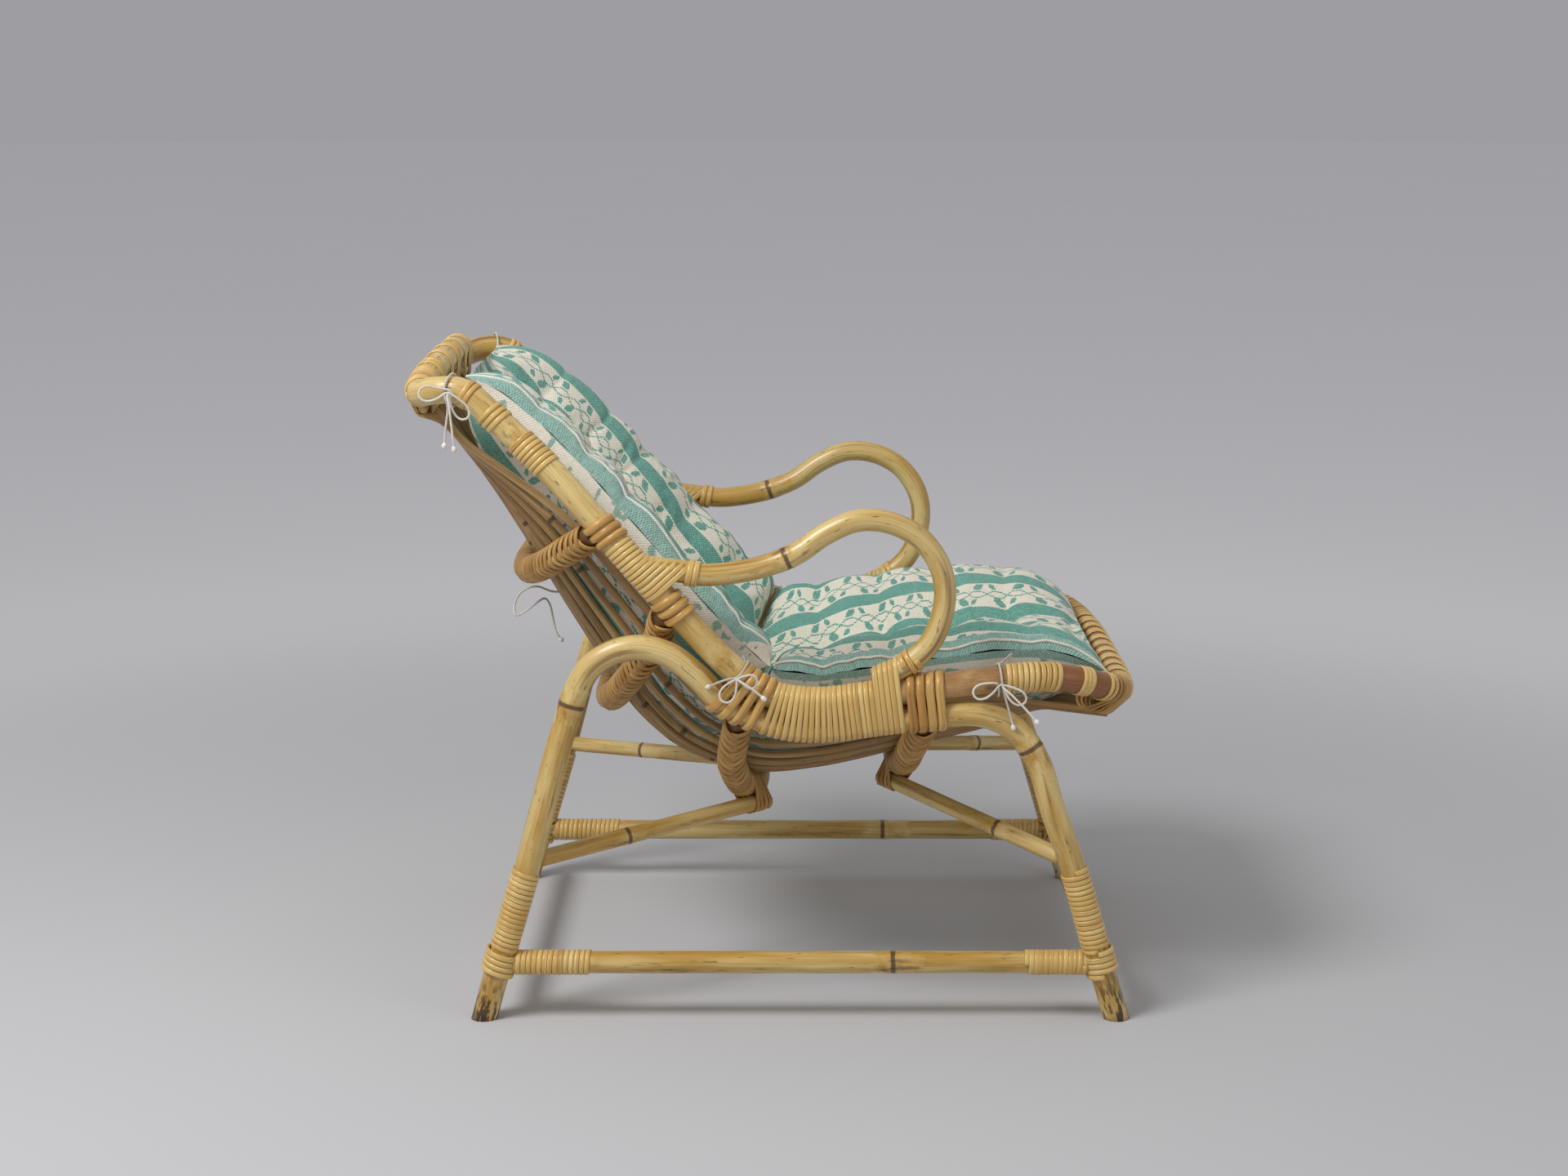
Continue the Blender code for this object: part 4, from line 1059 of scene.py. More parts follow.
def strip_ring(spot, wide, thick, width, height, points=0):
    """The cut through a strip: flat with a domed face, or an even oval of so many points."""
    if points == 0:
        return [spot + wide * (x * width) + thick * (y * height) for x, y in FLAT_CUT]
    ring = []
    for n in range(points):
        turn = 2 * math.pi * (n + 0.5) / points
        ring.append(spot + wide * (math.cos(turn) * width / 2) + thick * (math.sin(turn) * height / 2))
    return ring


PLAIT_PITCH = {"hoop_rear_seat": 0.0150, "hoop_front_seat": 0.0150}
FINE_PITCH = 0.0104
PLAIT_SLOPE_SHARE = 1.60
PLAIT_WIDTH_SHARE = 0.68
PLAIT_HEIGHT = 0.0042
PLAIT_STEPS = 13
PLAIT_START = 0.002
PLAIT_END = 0.004
PLAIT_EASE = 1.6
PLAIT_FIRST_TURN = 178
PLAIT_SWEEP = 214
PLAIT_RISE = 0.0030
PLAIT_RISE_RATE = 7
PLAIT_NUDGE = 0.004
BAR_INSET = 0.0024
DIVE_FROM = 0.76
DIVE_DEPTH = 0.0042
DIVE_EASE = 1.3


def make_plait(name, line):
    """A bar under a row of strips that meet in arrowheads on its outer side. The bar is painted dark
    brown as painted shade in the gaps.
    """
    lengths = running_lengths(line)
    shape = bmesh.new()
    shade_painted_core, _ = pole_rings(line, HOOP_RADIUS - BAR_INSET, 12, (), 0.0)
    # Mark is full along the whole bar, which paints it dark brown: painted shade in the gaps between
    # the strips.
    add_skin(shape, shade_painted_core, [1.0] * len(shade_painted_core))
    middle = (line[0] + line[-1]) / 2
    pitch = PLAIT_PITCH.get(name, FINE_PITCH)
    advance = PLAIT_SLOPE_SHARE * pitch
    count = int((lengths[-1] - advance - PLAIT_END) / pitch)
    for number in range(count):
        for hand in (-1, 1):
            begin = PLAIT_START + (number + (hand + 1) * 0.25) * pitch
            rings = []
            for step in range(PLAIT_STEPS):
                part = step / (PLAIT_STEPS - 1)
                distance = begin + advance * part ** PLAIT_EASE
                centre = along(line, lengths, distance)
                run = (along(line, lengths, distance + PLAIT_NUDGE)
                       - along(line, lengths, distance - PLAIT_NUDGE)).normalized()
                out = centre - middle
                out = (out - run * out.dot(run)).normalized()
                other = run.cross(out)
                turn = math.radians(PLAIT_FIRST_TURN - PLAIT_SWEEP * part) * hand
                spoke = out * math.cos(turn) + other * math.sin(turn)
                dive = max(0.0, (part - DIVE_FROM) / (1 - DIVE_FROM))
                lift = PLAIT_RISE * min(1.0, part * PLAIT_RISE_RATE) - BAR_INSET
                lift -= DIVE_DEPTH * dive ** DIVE_EASE
                slope = advance * PLAIT_EASE * part ** (PLAIT_EASE - 1) / (math.pi * HOOP_RADIUS)
                wide = (run - run.cross(spoke) * (hand * -slope)).normalized()
                rings.append(strip_ring(centre + spoke * (HOOP_RADIUS + lift), wide, spoke,
                                        pitch * PLAIT_WIDTH_SHARE, PLAIT_HEIGHT))
            add_skin(shape, rings, offset=number * 0.61 + hand * 7.0)
    finish_piece(name + "_plait", shape, BRAID, (name,))
    return count


for name, line in HOOP_LINES.items():
    print(name, "plait of", make_plait(name, line), "arrowheads")

# %% [markdown]
# ## Bindings
#
# Split cane is wound tightly round one pole, or round two or three that lie together. Cut across
# such a bundle and the strip runs like a belt round wheels: at every direction it touches the
# pole that reaches farthest that way. The function below asks which pole that is at each step,
# while it moves on along the bundle.

# %% Wind a strip
TURN_STEPS = 20
STRIP_WIDTH = 0.0067
STRIP_HEIGHT = 0.0026
STRIP_SINK = 0.28


def crossing(line, centre, run, reach=0.075):
    """Where a pole passes through the plane of one turn, or None."""
    for a, b in zip(line, line[1:]):
        before = (a - centre).dot(run)
        after = (b - centre).dot(run)
        if before * after <= 0 and before != after and (a - centre).length < reach:
            return a.lerp(b, before / (before - after))
    return None


def wind(shape, line, begin, end, turns, others=(), ends=(), radius=RAIL_RADIUS,
         width=STRIP_WIDTH, height=STRIP_HEIGHT, offset=0.0, points=0):
    """Winds one strip round a line, the others: (line, radius), and pole ends: (point, radius)."""
    lengths = running_lengths(line)
    steps = int(turns * TURN_STEPS)
    rings = []
    for n in range(steps + 1):
        distance = begin + (end - begin) * n / steps
        centre, run, outer = frame_at(line, lengths, distance)
        side = run.cross(outer)
        poles = [(centre, radius)]
        poles += [(spot - run * (spot - centre).dot(run), reach) for spot, reach in ends]
        for other, other_radius in others:
            spot = crossing(other, centre, run)
            if spot is not None:
                poles.append((spot, other_radius))
        turn = 2 * math.pi * n / TURN_STEPS
        normal = side * math.cos(turn) + outer * math.sin(turn)
        spot, reach = max(poles, key=lambda pole: (pole[0] - centre).dot(normal) + pole[1])
        rings.append(strip_ring(spot + normal * (reach + height * STRIP_SINK), run, normal, width,
                                height, points))
    add_skin(shape, rings, offset=offset)


def wind_between(shape, line, first, last, pitch=STRIP_WIDTH - 0.0001, **options):
    """Winds a strip between two forward places of a side pole, turn beside turn."""
    begin = length_where(line, forward_of, first)
    end = length_where(line, forward_of, last)
    turns = max(1, round((end - begin) / pitch))
    wind(shape, line, begin, end, turns, **options)
    return turns


print("a turn of strip has", TURN_STEPS, "steps")

# %% [markdown]
# A brace crosses under its hoop, and a strip holds the two together. It runs round both the
# short way, between their two directions. A round pole cut at a slant is an ellipse, so here the
# belt runs round two ellipses.

# %% Lash two crossing poles
LASH_TURNS = 4
LASH_SPREAD = 0.0240
LASH_SINK = 0.3
PLAIT_PROUD = 0.0022


def ellipse_reach(normal, run, plane, radius):
    """From the middle of a slanted cut through a pole to the point farthest along the normal."""
    long_way = (run - plane * run.dot(plane)).normalized()
    short_way = plane.cross(long_way)
    long_reach = radius / abs(run.dot(plane)) * normal.dot(long_way)
    short_reach = radius * normal.dot(short_way)
    size = math.hypot(long_reach, short_reach)
    return (long_way * (long_reach * radius / abs(run.dot(plane)))
            + short_way * (short_reach * radius)) / size


def lash(shape, first, second, seed):
    """Turns the short way round two crossing poles: (centre, direction, radius) of each."""
    hand = 1 if first[1].dot(second[1]) > 0 else -1
    plane = (first[1] + second[1] * hand).normalized()
    gap = (second[0] - first[0]).normalized()
    toward = (gap - plane * gap.dot(plane)).normalized()
    across = plane.cross(toward)
    rings = []
    steps = LASH_TURNS * TURN_STEPS
    for n in range(steps + 1):
        shift = (n / steps - 0.5) * LASH_SPREAD
        turn = 2 * math.pi * n / TURN_STEPS
        normal = toward * math.cos(turn) + across * math.sin(turn)
        spots = []
        for centre, run, radius in (first, second):
            middle = centre + run * (shift / run.dot(plane))
            spots.append(middle + ellipse_reach(normal, run, plane, radius))
        spot = max(spots, key=lambda point: point.dot(normal))
        rings.append(strip_ring(spot + normal * (STRIP_HEIGHT * LASH_SINK), plane, normal,
                                STRIP_WIDTH, STRIP_HEIGHT))
    add_skin(shape, rings, offset=seed)


for number, (name, hoop, hoop_run, brace, brace_run) in enumerate(BRACE_ENDS):
    shape = bmesh.new()
    lash(shape, (hoop, hoop_run, HOOP_RADIUS + PLAIT_PROUD), (brace, brace_run, BRACE_RADIUS),
         170.0 + number * 3)
    finish_piece("brace_lashing_" + name, shape, BRAID)
print("braces are lashed:", len(BRACE_ENDS))

# %% [markdown]
# The two long bindings of each side hold the arm on the rail. The seat's winding takes in the
# rail, the leg pole under it and the arm's end on it, and it ends in thick loops of round cane.

# %% Bindings of the side frames
ARM_FRONT = ARM_POLE[len(ARM_POLE) * 2 // 3:]
ARM_BACK = ARM_POLE[:len(ARM_POLE) // 3]
SEAT_BINDING = (-0.014, 0.142)
ARM_BINDING = (-0.202, -0.149)
LOOP_HEIGHT = 0.0060
THICK_LOOPS = (
    (-0.0575, -0.017, 0.0122, 0.0110, "leg"),
    (0.147, 0.194, 0.0122, 0.0110, "leg"),
    (-0.2265, -0.204, 0.0105, 0.0098, "arm"),
    (-0.146, -0.122, 0.0112, 0.0104, "none"),
)
RAIL_BANDS = ((-0.3194, -0.285), (-0.358, -0.341), (-0.386, -0.376), (0.2684, 0.3328),
              (0.3576, 0.3715), (0.389, 0.399))
FRONT_COLLAR = (0.056, 0.040, 0.0076)
BACK_COLLAR = (0.078, 0.093, 0.0080)
COLLAR_HEIGHT = 0.0034


def make_side_bindings(name, side):
    rail = on_side(RAIL_SIDE, side)
    front_arm = on_side(ARM_FRONT, side)
    back_arm = on_side(ARM_BACK, side)
    beside = {"leg": ((on_side(LEG_TOP, side), LEG_RADIUS),), "arm": ((back_arm, ARM_RADIUS),),
              "none": ()}
    shape = bmesh.new()
    turns = wind_between(shape, rail, *SEAT_BINDING, offset=side + 50.0,
                         others=beside["leg"] + ((front_arm, ARM_RADIUS),))
    finish_piece("seat_binding_" + name, shape, STRIP, ("seat_winding_" + name,))
    shape = bmesh.new()
    for number, (first, last, pitch, width, pole) in enumerate(THICK_LOOPS):
        wind_between(shape, rail, first, last, pitch=pitch, width=width, height=LOOP_HEIGHT,
                     others=beside[pole], points=8, offset=60.0 + 2 * number + side)
    finish_piece("thick_loops_" + name, shape, LOOP)
    shape = bmesh.new()
    turns += wind_between(shape, rail, *ARM_BINDING, offset=70.0 + side, others=beside["arm"])
    finish_piece("arm_binding_" + name, shape, STRIP, ("arm_winding_" + name,))
    shape = bmesh.new()
    for number, (first, last) in enumerate(RAIL_BANDS):
        turns += wind_between(shape, rail, first, last, offset=80.0 + 2 * number + side)
    tip = running_lengths(front_arm)[-1]
    first, last, width = FRONT_COLLAR
    wind(shape, front_arm, tip - first, tip - last, 2, radius=ARM_RADIUS, width=width,
         height=COLLAR_HEIGHT, offset=92.0 + side)
    first, last, width = BACK_COLLAR
    wind(shape, back_arm, first, last, 2, radius=ARM_RADIUS, width=width, height=COLLAR_HEIGHT,
         offset=94.0 + side)
    finish_piece("rail_bindings_" + name, shape, STRIP)
    return turns


for name, side in SIDES:
    print(name, "side:", make_side_bindings(name, side), "turns of strip")

# %% [markdown]
# Each leg is bound between the stretcher and the brace. Where the stretchers butt against it, a
# collar goes round the leg, and the end of each stretcher is wound as well.

# %% Bindings of the legs and stretchers
SLEEVE = (0.090, 0.190)
SLEEVE_WIDTH = 0.0066
COLLAR = (0.059, 0.087)
COLLAR_TURNS = 4
COLLAR_STAND = 0.0022
LEG_COLLAR_WIDTH = 0.0074
LEG_COLLAR_HEIGHT = 0.0042
LEG_ENDS = (("rear", True, 0.098, 14), ("front", False, 0.078, 12))
CROSS_END = (0.084, 12)
BAR_START = 0.006


def leg_part(rear):
    """The lower part of the left leg's line, from the floor up."""
    line = LEG if rear else LEG[::-1]
    return [p for p in line[:len(line) // 3] if 0.01 < p.z < 0.25]


for end_name, rear, bar_end, bar_turns in LEG_ENDS:
    for side_name, side in SIDES:
        part = on_side(leg_part(rear), side)
        seed = side * 3 + rear
        shape = bmesh.new()
        low, high = (length_where(part, height_of, height) for height in SLEEVE)
        wind(shape, part, low, high, round((high - low) / SLEEVE_WIDTH), radius=LEG_RADIUS,
             offset=100.0 + seed, width=SLEEVE_WIDTH)
        finish_piece("leg_binding_%s_%s" % (end_name, side_name), shape, STRIP,
                     ("leg_winding_%s_%s" % (end_name, side_name),))
        shape = bmesh.new()
        low, high = (length_where(part, height_of, height) for height in COLLAR)
        wind(shape, part, low, high, COLLAR_TURNS, radius=LEG_RADIUS + COLLAR_STAND,
             width=LEG_COLLAR_WIDTH, height=LEG_COLLAR_HEIGHT, offset=110.0 + seed)
        bar = on_side(SIDE_STRETCHER if rear else SIDE_STRETCHER[::-1], side)
        wind(shape, bar, BAR_START, bar_end, bar_turns, radius=STRETCHER_RADIUS,
             offset=120.0 + seed)
        bar = CROSS_STRETCHERS[end_name]
        bar = bar if side < 0 else bar[::-1]
        wind(shape, bar, BAR_START, *CROSS_END, radius=STRETCHER_RADIUS, offset=130.0 + seed)
        finish_piece("stretcher_bindings_%s_%s" % (end_name, side_name), shape, STRIP)
print("legs and stretchers are bound")

# %% [markdown]
# At the top of the back and the front of the seat, groups of two to five turns hold the anchor
# rod to the rim, with open gaps between the groups. At each front corner a bundle of turns takes
# in the end of the rod.

# %% Open windings round the rods
GROUP_STEP = 0.0034
TIP_LENGTH = 0.066
TIP_END = 0.012
TIP_TURNS = 7
CORNER_FORWARD = 0.36
CORNER_SIDE = 0.185
TOP_GROUPS = ((0.020, 2), (0.062, 3), (0.104, 2), (0.144, 3), (0.176, 3), (0.205, 5))
FRONT_GROUPS = ((0.020, 3), (0.060, 3), (0.100, 3), (0.138, 3), (0.172, 3), (0.205, 4))


def make_rod_bindings(name, loop, rod, spots, seed):
    shape = bmesh.new()
    lengths = running_lengths(loop)
    for number, (place, turns) in enumerate(spots):
        for side in (-1, 1):
            middle = lengths[-1] / 2 + side * place
            reach = turns * GROUP_STEP
            wind(shape, loop, middle - reach, middle + reach, turns, offset=seed + number + side,
                 others=((rod, ROD_RADIUS + SLAT_RADIUS),))
    finish_piece(name, shape, STRIP)


BACK_LOOP = [p for p in RAIL if p.x < 0.235 and p.z > 0.6]
BACK_LOOP = mirrored(BACK_LOOP[::-1]) + BACK_LOOP[1:]
FRONT_RIM = [p for p in RAIL if p.x < 0.235 and p.z < 0.6]
FRONT_RIM = mirrored(FRONT_RIM) + FRONT_RIM[::-1][1:]
make_rod_bindings("top_rod_bindings", BACK_LOOP, TOP_ROD, TOP_GROUPS, 140.0)
make_rod_bindings("front_rod_bindings", FRONT_RIM, FRONT_ROD, FRONT_GROUPS, 160.0)
for side_name, side in SIDES:
    corner = [p for p in RAIL if forward_of(p) > CORNER_FORWARD and p.x > CORNER_SIDE]
    corner = on_side(corner, side)
    rod_end = max(FRONT_ROD, key=lambda p: p.x * side)
    reach = running_lengths(corner)[-1]
    shape = bmesh.new()
    wind(shape, corner, reach - TIP_LENGTH, reach - TIP_END, TIP_TURNS,
         ends=((rod_end, ROD_RADIUS + SLAT_RADIUS),), offset=180.0 + side)
    finish_piece("front_tip_binding_" + side_name, shape, BRAID)
print("rods are bound to the rims")

# %% [markdown]
# ## The cushions
#
# Two cushions lie in the shell, one on the back and one on the seat. Each is cotton over
# wadding: an underside on the slats, and a top that hangs as a trough between two plump rolls.
# Rows of stitches pull it down. The fabric is two grids, sewn together round the border, and
# the grid keeps the map that the print needs. Then cloth is blown up by a little pressure, with
# the border, the seams and the stitches held, which gives real creases round every stitch. A row
# of the table below says between which places of the shell a cushion lies, how its rim is shaped
# and how full it is.

# %% Sizes of the cushions
CUSHION_THICKNESS = 0.066
CUSHION_LIFT = 0.0003
SEAM_RISE = 0.022
SEAM_INSET = 0.044
CUSHION_HALF_WIDTH = HALF_WIDTH - SEAM_INSET
ROLL_RISE = 0.024
ROLL_SHARE = 0.80
UNDERSIDE_SHARE = 0.70
RIM_BLEND = 0.80
CREASE_BLEND = 0.09
FRONT_CORNER = 0.031
FABRIC_COLUMNS = 96
FABRIC_STEP = 0.0056
LEAN_FILL = 0.84
CORNER_LENGTH = 0.075
FABRIC_WELD = 0.0002
Cushion = namedtuple("Cushion", "node crease rim rim_width rim_line seed seam_column loft droop "
                                "corner stretch")
CUSHIONS = (
    Cushion("cushion_back", 9.46, 0.20, TOP_SPREAD, (-0.392, 0.786), 3.0, 45, 0.004, 0.0, 0.10,
            1.0),
    Cushion("cushion_seat", 9.54, 17.3, FRONT_SPREAD + FRONT_CORNER, (0.402, 0.420), 8.0, 47,
            0.022, 0.020, 0.0, 1.25),
)


def seam_share(cushion):
    return 2 * cushion.seam_column / FABRIC_COLUMNS


def width_at(cushion, step):
    return CUSHION_HALF_WIDTH + (cushion.rim_width - CUSHION_HALF_WIDTH) * step


def cushion_top(place, share, width, full):
    """The top of a cushion: a trough between two plump rolls along the seams."""
    index = min(int(place), len(RIBS) - 2)
    depth = RIBS[index][3] + (RIBS[index + 1][3] - RIBS[index][3]) * (place - index)
    middle = SLAT_RADIUS + CUSHION_LIFT - depth + CUSHION_THICKNESS * full
    ridge = SEAM_RISE + ROLL_RISE * full
    if abs(share) < ROLL_SHARE:
        height = ridge + (middle - ridge) * math.cos(abs(share) / ROLL_SHARE * math.pi / 2)
    else:
        part = (abs(share) - ROLL_SHARE) / (1 - ROLL_SHARE)
        height = SEAM_RISE + (ridge - SEAM_RISE) * (1 - part * part) ** 0.5
    spot = beside_rail(index, -height).lerp(beside_rail(index + 1, -height), place - index)
    spot.x = share * width
    return spot


print("cushions", [cushion.node for cushion in CUSHIONS], "half width", CUSHION_HALF_WIDTH)

# %% [markdown]
# Each stitch pulls the top down in a dimple, and small folds run out from it along its row and
# its column. Beside the long seams the cloth puckers in short waves. Both are worked out as a
# depth at a place on the cushion, and the pressure later swells the cloth between them.

# %% Stitches and puckers
TUFT_DEPTH = 0.024
TUFT_REACH = 0.014
TUFT_PITCH = 0.095
TUFT_COLUMNS = tuple(TUFT_PITCH * column for column in (-2, -1, 0, 1, 2))
FOLD_DEPTH = 0.010
FOLD_WIDTH = 0.006
FOLD_LENGTH = 0.046
SCALLOP = 0.006
PUCKER = 0.0034
PUCKER_RATE = 42.0
PUCKER_REACH = 0.10


def stitch_pull(across, run, length, rows):
    """How far the stitches pull the top down, and how firmly they hold it there, 0 to 1."""
    row_away = min(abs(run - row * length / rows) for row in range(1, rows))
    column = min(TUFT_COLUMNS, key=lambda place: abs(across - place))
    column_away = abs(across - column)
    strength = 1 - 0.5 * (column / TUFT_COLUMNS[-1]) ** 4
    dimple = math.exp(-math.hypot(row_away, column_away) / TUFT_REACH)
    folds = 0.0
    for near, far in ((row_away, column_away), (column_away, row_away)):
        folds = max(folds, math.exp(-near / FOLD_WIDTH - (far / FOLD_LENGTH) ** 2))
    pull = (TUFT_DEPTH * dimple + FOLD_DEPTH * folds) * strength
    return pull, min(1.0, dimple * 1.3 + folds * 0.5)


def seam_pucker(cushion, share, step, length, rows):
    """Small waves beside the long seams, and a scallop between two rows of stitches."""
    wave = noise.noise(Vector((share * 3.0, step * length * PUCKER_RATE, cushion.seed))) * PUCKER
    wave += SCALLOP * (0.5 - abs(math.sin(math.pi * step * rows)))
    return wave * max(0.0, 1 - abs(abs(share) - seam_share(cushion)) / PUCKER_REACH)


print("stitches every %.0f mm" % (TUFT_PITCH * 1000))

# %% [markdown]
# The two layers share their places: a share of the width from -1 to 1, and a share of the length
# from the crease of the chair to the rim. At the border both layers meet in one line.

# %% Both layers of a cushion
AT_BORDER = 0.99


def cushion_spot(cushion, share, step, length):
    """Underside, top and freedom to swell, at a share of the width and of the length."""
    rows = round(length / TUFT_PITCH)
    place = cushion.crease + (cushion.rim - cushion.crease) * step
    width = width_at(cushion, step)
    full = (1 - max(0.0, 2 * step - 1) ** 8) ** 0.5
    angle = share * SLAT_SPREAD
    normal = shell_normal(place, angle)
    outward = shell_normal(place, 0.0)
    bottom = shell_between(place, angle) - normal * (SLAT_RADIUS + CUSHION_LIFT)
    seam = cushion_top(place, math.copysign(1.0, share), width, 0.0)
    blend = max(0.0, (abs(share) - UNDERSIDE_SHARE) / (1 - UNDERSIDE_SHARE)) ** 1.6
    bottom = bottom.lerp(seam, blend)
    inside = max(0.0, 1 - (share / seam_share(cushion)) ** 6)
    lean = 1 - (1 - LEAN_FILL) * inside
    top = cushion_top(place, share, width, full * lean)
    rise = cushion.loft * math.sin(math.pi * step) ** 0.8 - cushion.droop * (1 - step) ** 8
    top = top - outward * (rise * inside)
    pull, hold = stitch_pull(share * width, step * length, length, rows)
    pull *= full * (1 - blend)
    pucker = seam_pucker(cushion, share, step, length, rows) * full
    top = top + outward * (pull + pucker)
    at_rim = max(0.0, (step - RIM_BLEND) / (1 - RIM_BLEND))
    edge = at(share * width, *cushion.rim_line)
    bottom = bottom.lerp(edge, at_rim ** (1.5 + 1.5 * abs(share)))
    top = top.lerp(edge, at_rim ** 3)
    at_crease = 1 - (1 - max(0.0, 1 - step / CREASE_BLEND) ** 2) ** 0.5
    joined = bottom.lerp(top, 0.5)
    return bottom.lerp(joined, at_crease), top.lerp(joined, at_crease), 1 - hold


def sew_fabric(cushion):
    """Both layers of a cushion, sewn round the border."""
    seam = seam_share(cushion)
    span = cushion.rim - cushion.crease
    middle = [shell_between(cushion.crease + span * n / 20, 0.0) for n in range(21)]
    length = running_lengths(middle)[-1]
    shape = bmesh.new()
    uv = shape.loops.layers.uv.verify()
    edge_layer = shape.verts.layers.float.new("Edge")
    free_layer = shape.verts.layers.float.new("Free")
    seam_layer = shape.verts.layers.float.new("Seam")
    for layer in (0, 1):
        made = bmesh.ops.create_grid(shape, x_segments=FABRIC_COLUMNS,
                                     y_segments=round(length / FABRIC_STEP), size=1.0)["verts"]
        for face in {face for vert in made for face in vert.link_faces}:
            face.smooth = True
            for loop in face.loops:
                spot = loop.vert.co
                step = (spot.y + 1) / 2
                loop[uv].uv = (spot.x * width_at(cushion, step), step * length)
        for vert in made:
            share, step = vert.co.x, (vert.co.y + 1) / 2
            spots = cushion_spot(cushion, share, step, length)
            on_seam = abs(abs(share) - seam) < 0.01
            held = on_seam or abs(share) > AT_BORDER or step > AT_BORDER
            border = cushion.corner * max(0.0, 1 - step * length / CORNER_LENGTH)
            beyond = (abs(share) if layer else 2 - abs(share)) - seam
            vert[edge_layer] = (beyond * cushion.stretch if beyond > 0 else beyond) + border
            vert[seam_layer] = float(layer and on_seam)
            vert[free_layer] = 0.0 if held or layer == 0 else max(spots[2], 0.0)
            vert.co = spots[layer]
    bmesh.ops.remove_doubles(shape, verts=shape.verts, dist=FABRIC_WELD)
    bmesh.ops.recalc_face_normals(shape, faces=shape.faces)
    if shape.calc_volume(signed=True) < 0:
        bmesh.ops.reverse_faces(shape, faces=shape.faces)
    return shape


print("a cushion is sewn from two grids of", FABRIC_COLUMNS, "columns")

# %% [markdown]
# The print runs lengthwise on an ivory ground: a plain teal stripe, then a climbing plant in the
# same teal. Two stems wave across each other, with pointed leaves in turn on one side and the
# other. The map is rounded to whole threads before the pattern is worked out, so each edge climbs
# in small steps, as on woven cloth. A painted value called Edge is the distance from the long
# seam, as a share of half the width. From just inside the seam there is a plain band in a paler
# teal, and below it an ivory border with bits of the print, which lies down by the pole.

# %% The fabric
THREAD = 0.0017
REPEAT = 0.0525
STRIPE_WIDTH = 0.0190
LEAF_PITCH = 0.026
STEM_SWING = 0.0046
STEM_HALF_WIDTH = 0.0008
LEAF_AWAY = 0.0106
LEAVES = ((1.0, 0.002, 0.0080, 0.0046, 0.50), (-1.0, -0.006, 0.0058, 0.0032, -0.65))
BAND_FROM = -0.034
BORDER_FROM = 0.062
BORDER_TO = 0.165
IVORY = (tone(236, 230, 214), tone(218, 211, 195))
TEAL = (tone(84, 143, 130), tone(134, 181, 168))
PALE_TEAL = (tone(112, 158, 148), tone(170, 196, 186))


def vine(middle, weft):
    """Above 0 on the stems and leaves, by how far; middle is the distance from their line."""
    wave = (weft * (math.pi / LEAF_PITCH)).sine() * STEM_SWING
    stems = STEM_HALF_WIDTH - abs(middle - wave).least(abs(middle + wave))
    hand = ((weft // LEAF_PITCH) % 2.0) * 2.0 - 1.0
    local = weft % LEAF_PITCH - LEAF_PITCH / 2

    def leaf(side, ahead, long, wide, lean):
        out = middle * hand * side - LEAF_AWAY
        down = local - ahead
        tip = down * math.cos(lean) + out * math.sin(lean)
        body = out * math.cos(lean) - down * math.sin(lean)
        return (1.0 - (tip / long) ** 2) * wide - abs(body)

    plant = stems
    for row in LEAVES:
        plant = plant.most(leaf(*row))
    return plant


def fabric_finish():
    material, shader, place = new_finish("woven cotton print")
    own = Thread(place.outputs["UV"])
    across = own.part(0)
    run = own.part(1)
    warp = (across // THREAD + 0.5) * THREAD
    weft = (run // THREAD + 0.5) * THREAD
    band = (warp + STRIPE_WIDTH / 2) % REPEAT
    stripe = (band - STRIPE_WIDTH).ramp(0.0003, -0.0003)
    plant = vine(band - (STRIPE_WIDTH + REPEAT) / 2, weft)
    edge = own.node("ShaderNodeAttribute", {}, output=2, attribute_name="Edge")
    edge = edge + (own.triple(run * 16.0, 0.0, 0.0).cloud(1.0, 1.0) - 0.5) * 0.02
    side = edge.ramp(BAND_FROM, BAND_FROM + 0.003) * edge.ramp(BORDER_TO + 0.010, BORDER_TO)
    border = edge.ramp(BORDER_FROM, BORDER_FROM + 0.004)
    bits = own.triple(warp * 70.0, weft * 48.0, 4.0).cloud(1.0, 1.0).ramp(0.60, 0.63)
    printed = stripe.most(plant.ramp(-0.0002, 0.0002)) * (1.0 - side)
    yarn = own.node("ShaderNodeTexWhiteNoise", {0: own.triple(warp * 770.0, weft * 770.0, 0.0)})
    worn = own.triple(across, run, 0.0).cloud(9.0, 3.0)
    weave = (across * (math.pi / THREAD)).sine() * (run * (math.pi / THREAD)).sine()
    mixed = yarn * 0.40 + worn * 0.30 + weave * 0.35 + 0.1
    ivory = mixed.ramp(0.1, 0.8).tint(*IVORY)
    teal = mixed.ramp(0.1, 0.85).tint(*TEAL)
    pale = mixed.ramp(0.1, 0.8).tint(*PALE_TEAL)
    colour = printed.tint(ivory, teal)
    colour = (side * (1.0 - border)).tint(colour, pale)
    colour = (side * border * bits * 0.8).tint(colour, teal)
    colour.into(shader, "Base Color")
    soft = own.triple(across, run, 0.0).cloud(60.0, 2.0)
    (weave * 0.5 + soft * 1.4).bump(0.6, 0.0008).into(shader, "Normal")
    shader.inputs["Roughness"].default_value = 0.92
    shader.inputs["Specular IOR Level"].default_value = 0.15
    shader.inputs["Sheen Weight"].default_value = 0.15
    shader.inputs["Sheen Roughness"].default_value = 0.5
    return material


FABRIC = fabric_finish()
print("fabric repeats every %.0f mm" % (REPEAT * 1000))

# %% [markdown]
# The ties and the piping are white cotton, twisted like a rope. The twist is a sine that runs
# along the cord's own map and once round it, and a little soil keeps it from looking new.

# %% White cotton
TWIST_RATE = 1900.0
CLEAN_COTTON = tone(236, 232, 221)
SOILED_COTTON = tone(214, 208, 194)


